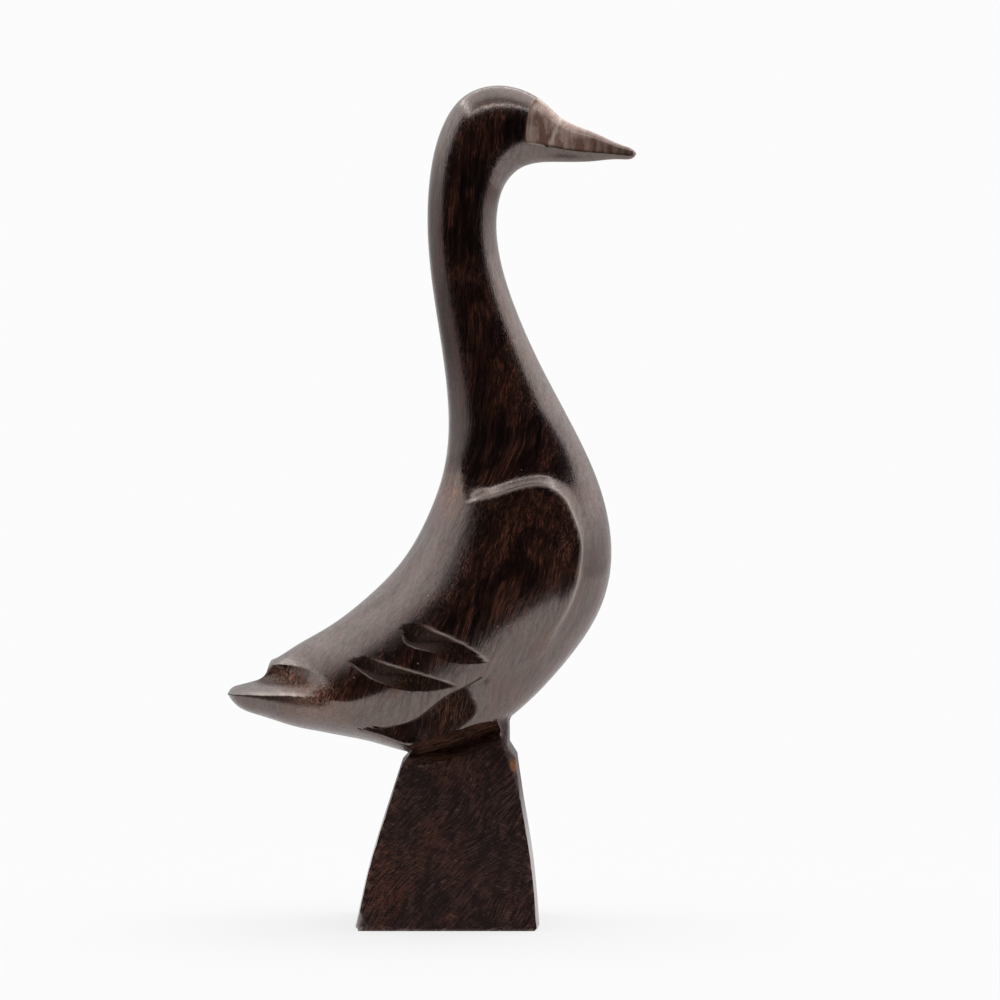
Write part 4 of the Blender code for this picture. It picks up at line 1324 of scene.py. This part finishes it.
def ironwood():
    """Near-black heartwood with red streaks and pores: polished goose, rasped block."""
    material = bpy.data.materials.new("ironwood")
    tree = empty_tree(material)
    place = tree.node("ShaderNodeTexCoord").out("Object")
    names = ("block", "gouged", "cut", "bill", "figure", "planed")
    block, gouged, cut, bill, figure, planed = [tree.attribute(name) for name in names]
    grain = WoodGrain(tree, place)
    marks = RaspMarks(tree, place)
    colour = polished_colour(tree, grain, figure, cut, bill)
    colour = tree.colour_mix(block, colour, rasped_colour(tree, place, marks))
    furrows = tree.pattern(place, *CHANNEL_FURROWS).between(0.40, 0.62)
    furrowed = tree.colour_mix(furrows, BLACK_WOOD, WARM_WOOD)
    colour = tree.colour_mix(gouged * 0.8, colour, furrowed)

    smooth = 0.12 + grain.bundles * 0.05 + grain.strokes * 0.06 + cut * 0.16 + bill * 0.12
    smooth = tree.value_mix(planed, smooth, PLANED_ROUGHNESS)
    open_grain = (grain.strokes * 0.010 + grain.streaks * 0.010) * (1 - planed) * (1 - bill * 0.7)
    relief = open_grain + cut * grain.threads * 0.02
    polished = finish(tree, colour, smooth, relief, POLISH_INDEX, POLISHED_TINT)
    scraped = marks.all * block * 0.55 + gouged * furrows * 0.35
    rough = 0.30 + marks.all * 0.30
    rasped = finish(tree, colour, rough, scraped, RASPED_INDEX, RASPED_TINT)

    # The polish is worn along the open grain and in the cuts, and dulled in the painted shade under the
    # tail's ridge; the block was never polished
    faded = grain.strokes * 0.14 + grain.streaks * 0.20 + grain.bundles * 0.18 + figure * 0.12
    worn = (faded * (1 - bill * 0.8) + cut * 1.1).least(1)
    dull = tree.value_mix(block, worn, 1 - planed)
    both = tree.node("ShaderNodeMixShader", None, {0: dull, 1: polished, 2: rasped})
    tree.node("ShaderNodeOutputMaterial", None, {"Surface": both.out()})
    return material


def studio_floor():
    """A pale table that keeps the shadow near the goose and turns to plain white far off."""
    material = bpy.data.materials.new("floor")
    tree = empty_tree(material)
    place = tree.node("ShaderNodeTexCoord").out("Object")
    distance = tree.vector_maths("LENGTH", place, {}, "Value")
    far = distance.between(*FLOOR_FADE, *FLOOR_PLAIN)
    matt = tree.node("ShaderNodeBsdfDiffuse", None, {"Color": FLOOR_WHITE})
    white = {"Color": (BACKGROUND_WHITE, BACKGROUND_WHITE, BACKGROUND_WHITE, 1), "Strength": 1.0}
    plain = tree.node("ShaderNodeEmission", None, white)
    mixed = tree.node("ShaderNodeMixShader", None, {0: far, 1: matt.out(), 2: plain.out()})
    tree.node("ShaderNodeOutputMaterial", None, {"Surface": mixed.out()})
    floor = bmesh.new()
    left, right, front, back = FLOOR_REACH
    corners = ((left, front, 0), (right, front, 0), (right, back, 0), (left, back, 0))
    floor.faces.new([floor.verts.new(corner) for corner in corners])
    mesh = bpy.data.meshes.new("floor")
    floor.to_mesh(mesh)
    floor.free()
    mesh.materials.append(material)
    placed("floor", mesh)


def wall_glow(up, low, level, high, top):
    """A wall's brightness from below the goose, past its own height, to the wall's top."""
    return up.between(-0.16, 0.02, low, level) + up.between(0.05, top, 0.0, high - level)


def studio_world():
    """White walls round the goose and a lit roof, dark only round the camera."""
    world = bpy.data.worlds.new("studio")
    bpy.context.scene.world = world
    tree = empty_tree(world)
    direction = tree.node("ShaderNodeTexCoord").out("Generated")
    right, away, up = tree.parts(direction)
    toward_camera = away * -1.0
    left_wall = wall_glow(up, *LEFT_WALL_GLOW)
    right_wall = wall_glow(up, *RIGHT_WALL_GLOW)
    walls = tree.value_mix(right.between(-0.3, 0.3), left_wall, right_wall)
    back_wall = toward_camera.between(-0.95, -0.6, 1.0, 0.0)
    walls = tree.value_mix(back_wall, walls, BACK_WALL_GLOW)
    walls = walls * toward_camera.between(0.0, 0.34, 1.0, 0.75)
    walls = walls * toward_camera.between(0.33, 0.37, 1.0, 0.0)
    roof = up.between(0.70, 0.75) * toward_camera.between(0.1, 0.5, *ROOF_GLOW)
    light = walls.most(roof) + ROOM_DARK
    seen = tree.node("ShaderNodeLightPath").out("Is Camera Ray")
    strength = tree.value_mix(seen, light, BACKGROUND_WHITE)
    background = tree.node("ShaderNodeBackground", None, {"Color": (1, 1, 1, 1), "Strength": strength})
    tree.node("ShaderNodeOutputWorld", None, {"Surface": background.out()})


def light_strip(name, centre, width, depth):
    """A narrow lamp in the roof, as bright as its glow times white paper."""
    lamp = bpy.data.lights.new(name, "AREA")
    lamp.shape = "RECTANGLE"
    lamp.size = width
    lamp.size_y = depth
    lamp.energy = STRIP_GLOW * math.pi * width * depth
    thing = placed(name, lamp)
    thing.location = centre
    thing.visible_camera = False


def studio_lamps():
    for name, centre, width, depth in ROOF_STRIPS:
        light_strip(name, centre, width, depth)


def studio_camera():
    lens = bpy.data.cameras.new("camera")
    lens.lens = CAMERA_LENS
    lens.sensor_width = 36.0
    camera = placed("camera", lens)
    camera.location = CAMERA_PLACE
    camera.rotation_euler = (math.pi / 2, 0, 0)
    bpy.context.scene.camera = camera


def main():
    studio_camera()
    studio_world()
    studio_lamps()
    studio_floor()
    bpy.context.scene.view_settings.view_transform = "Standard"
    goose = carved_goose(GooseForm(), ironwood())
    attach(goose, "root")
    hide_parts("goose")


main()
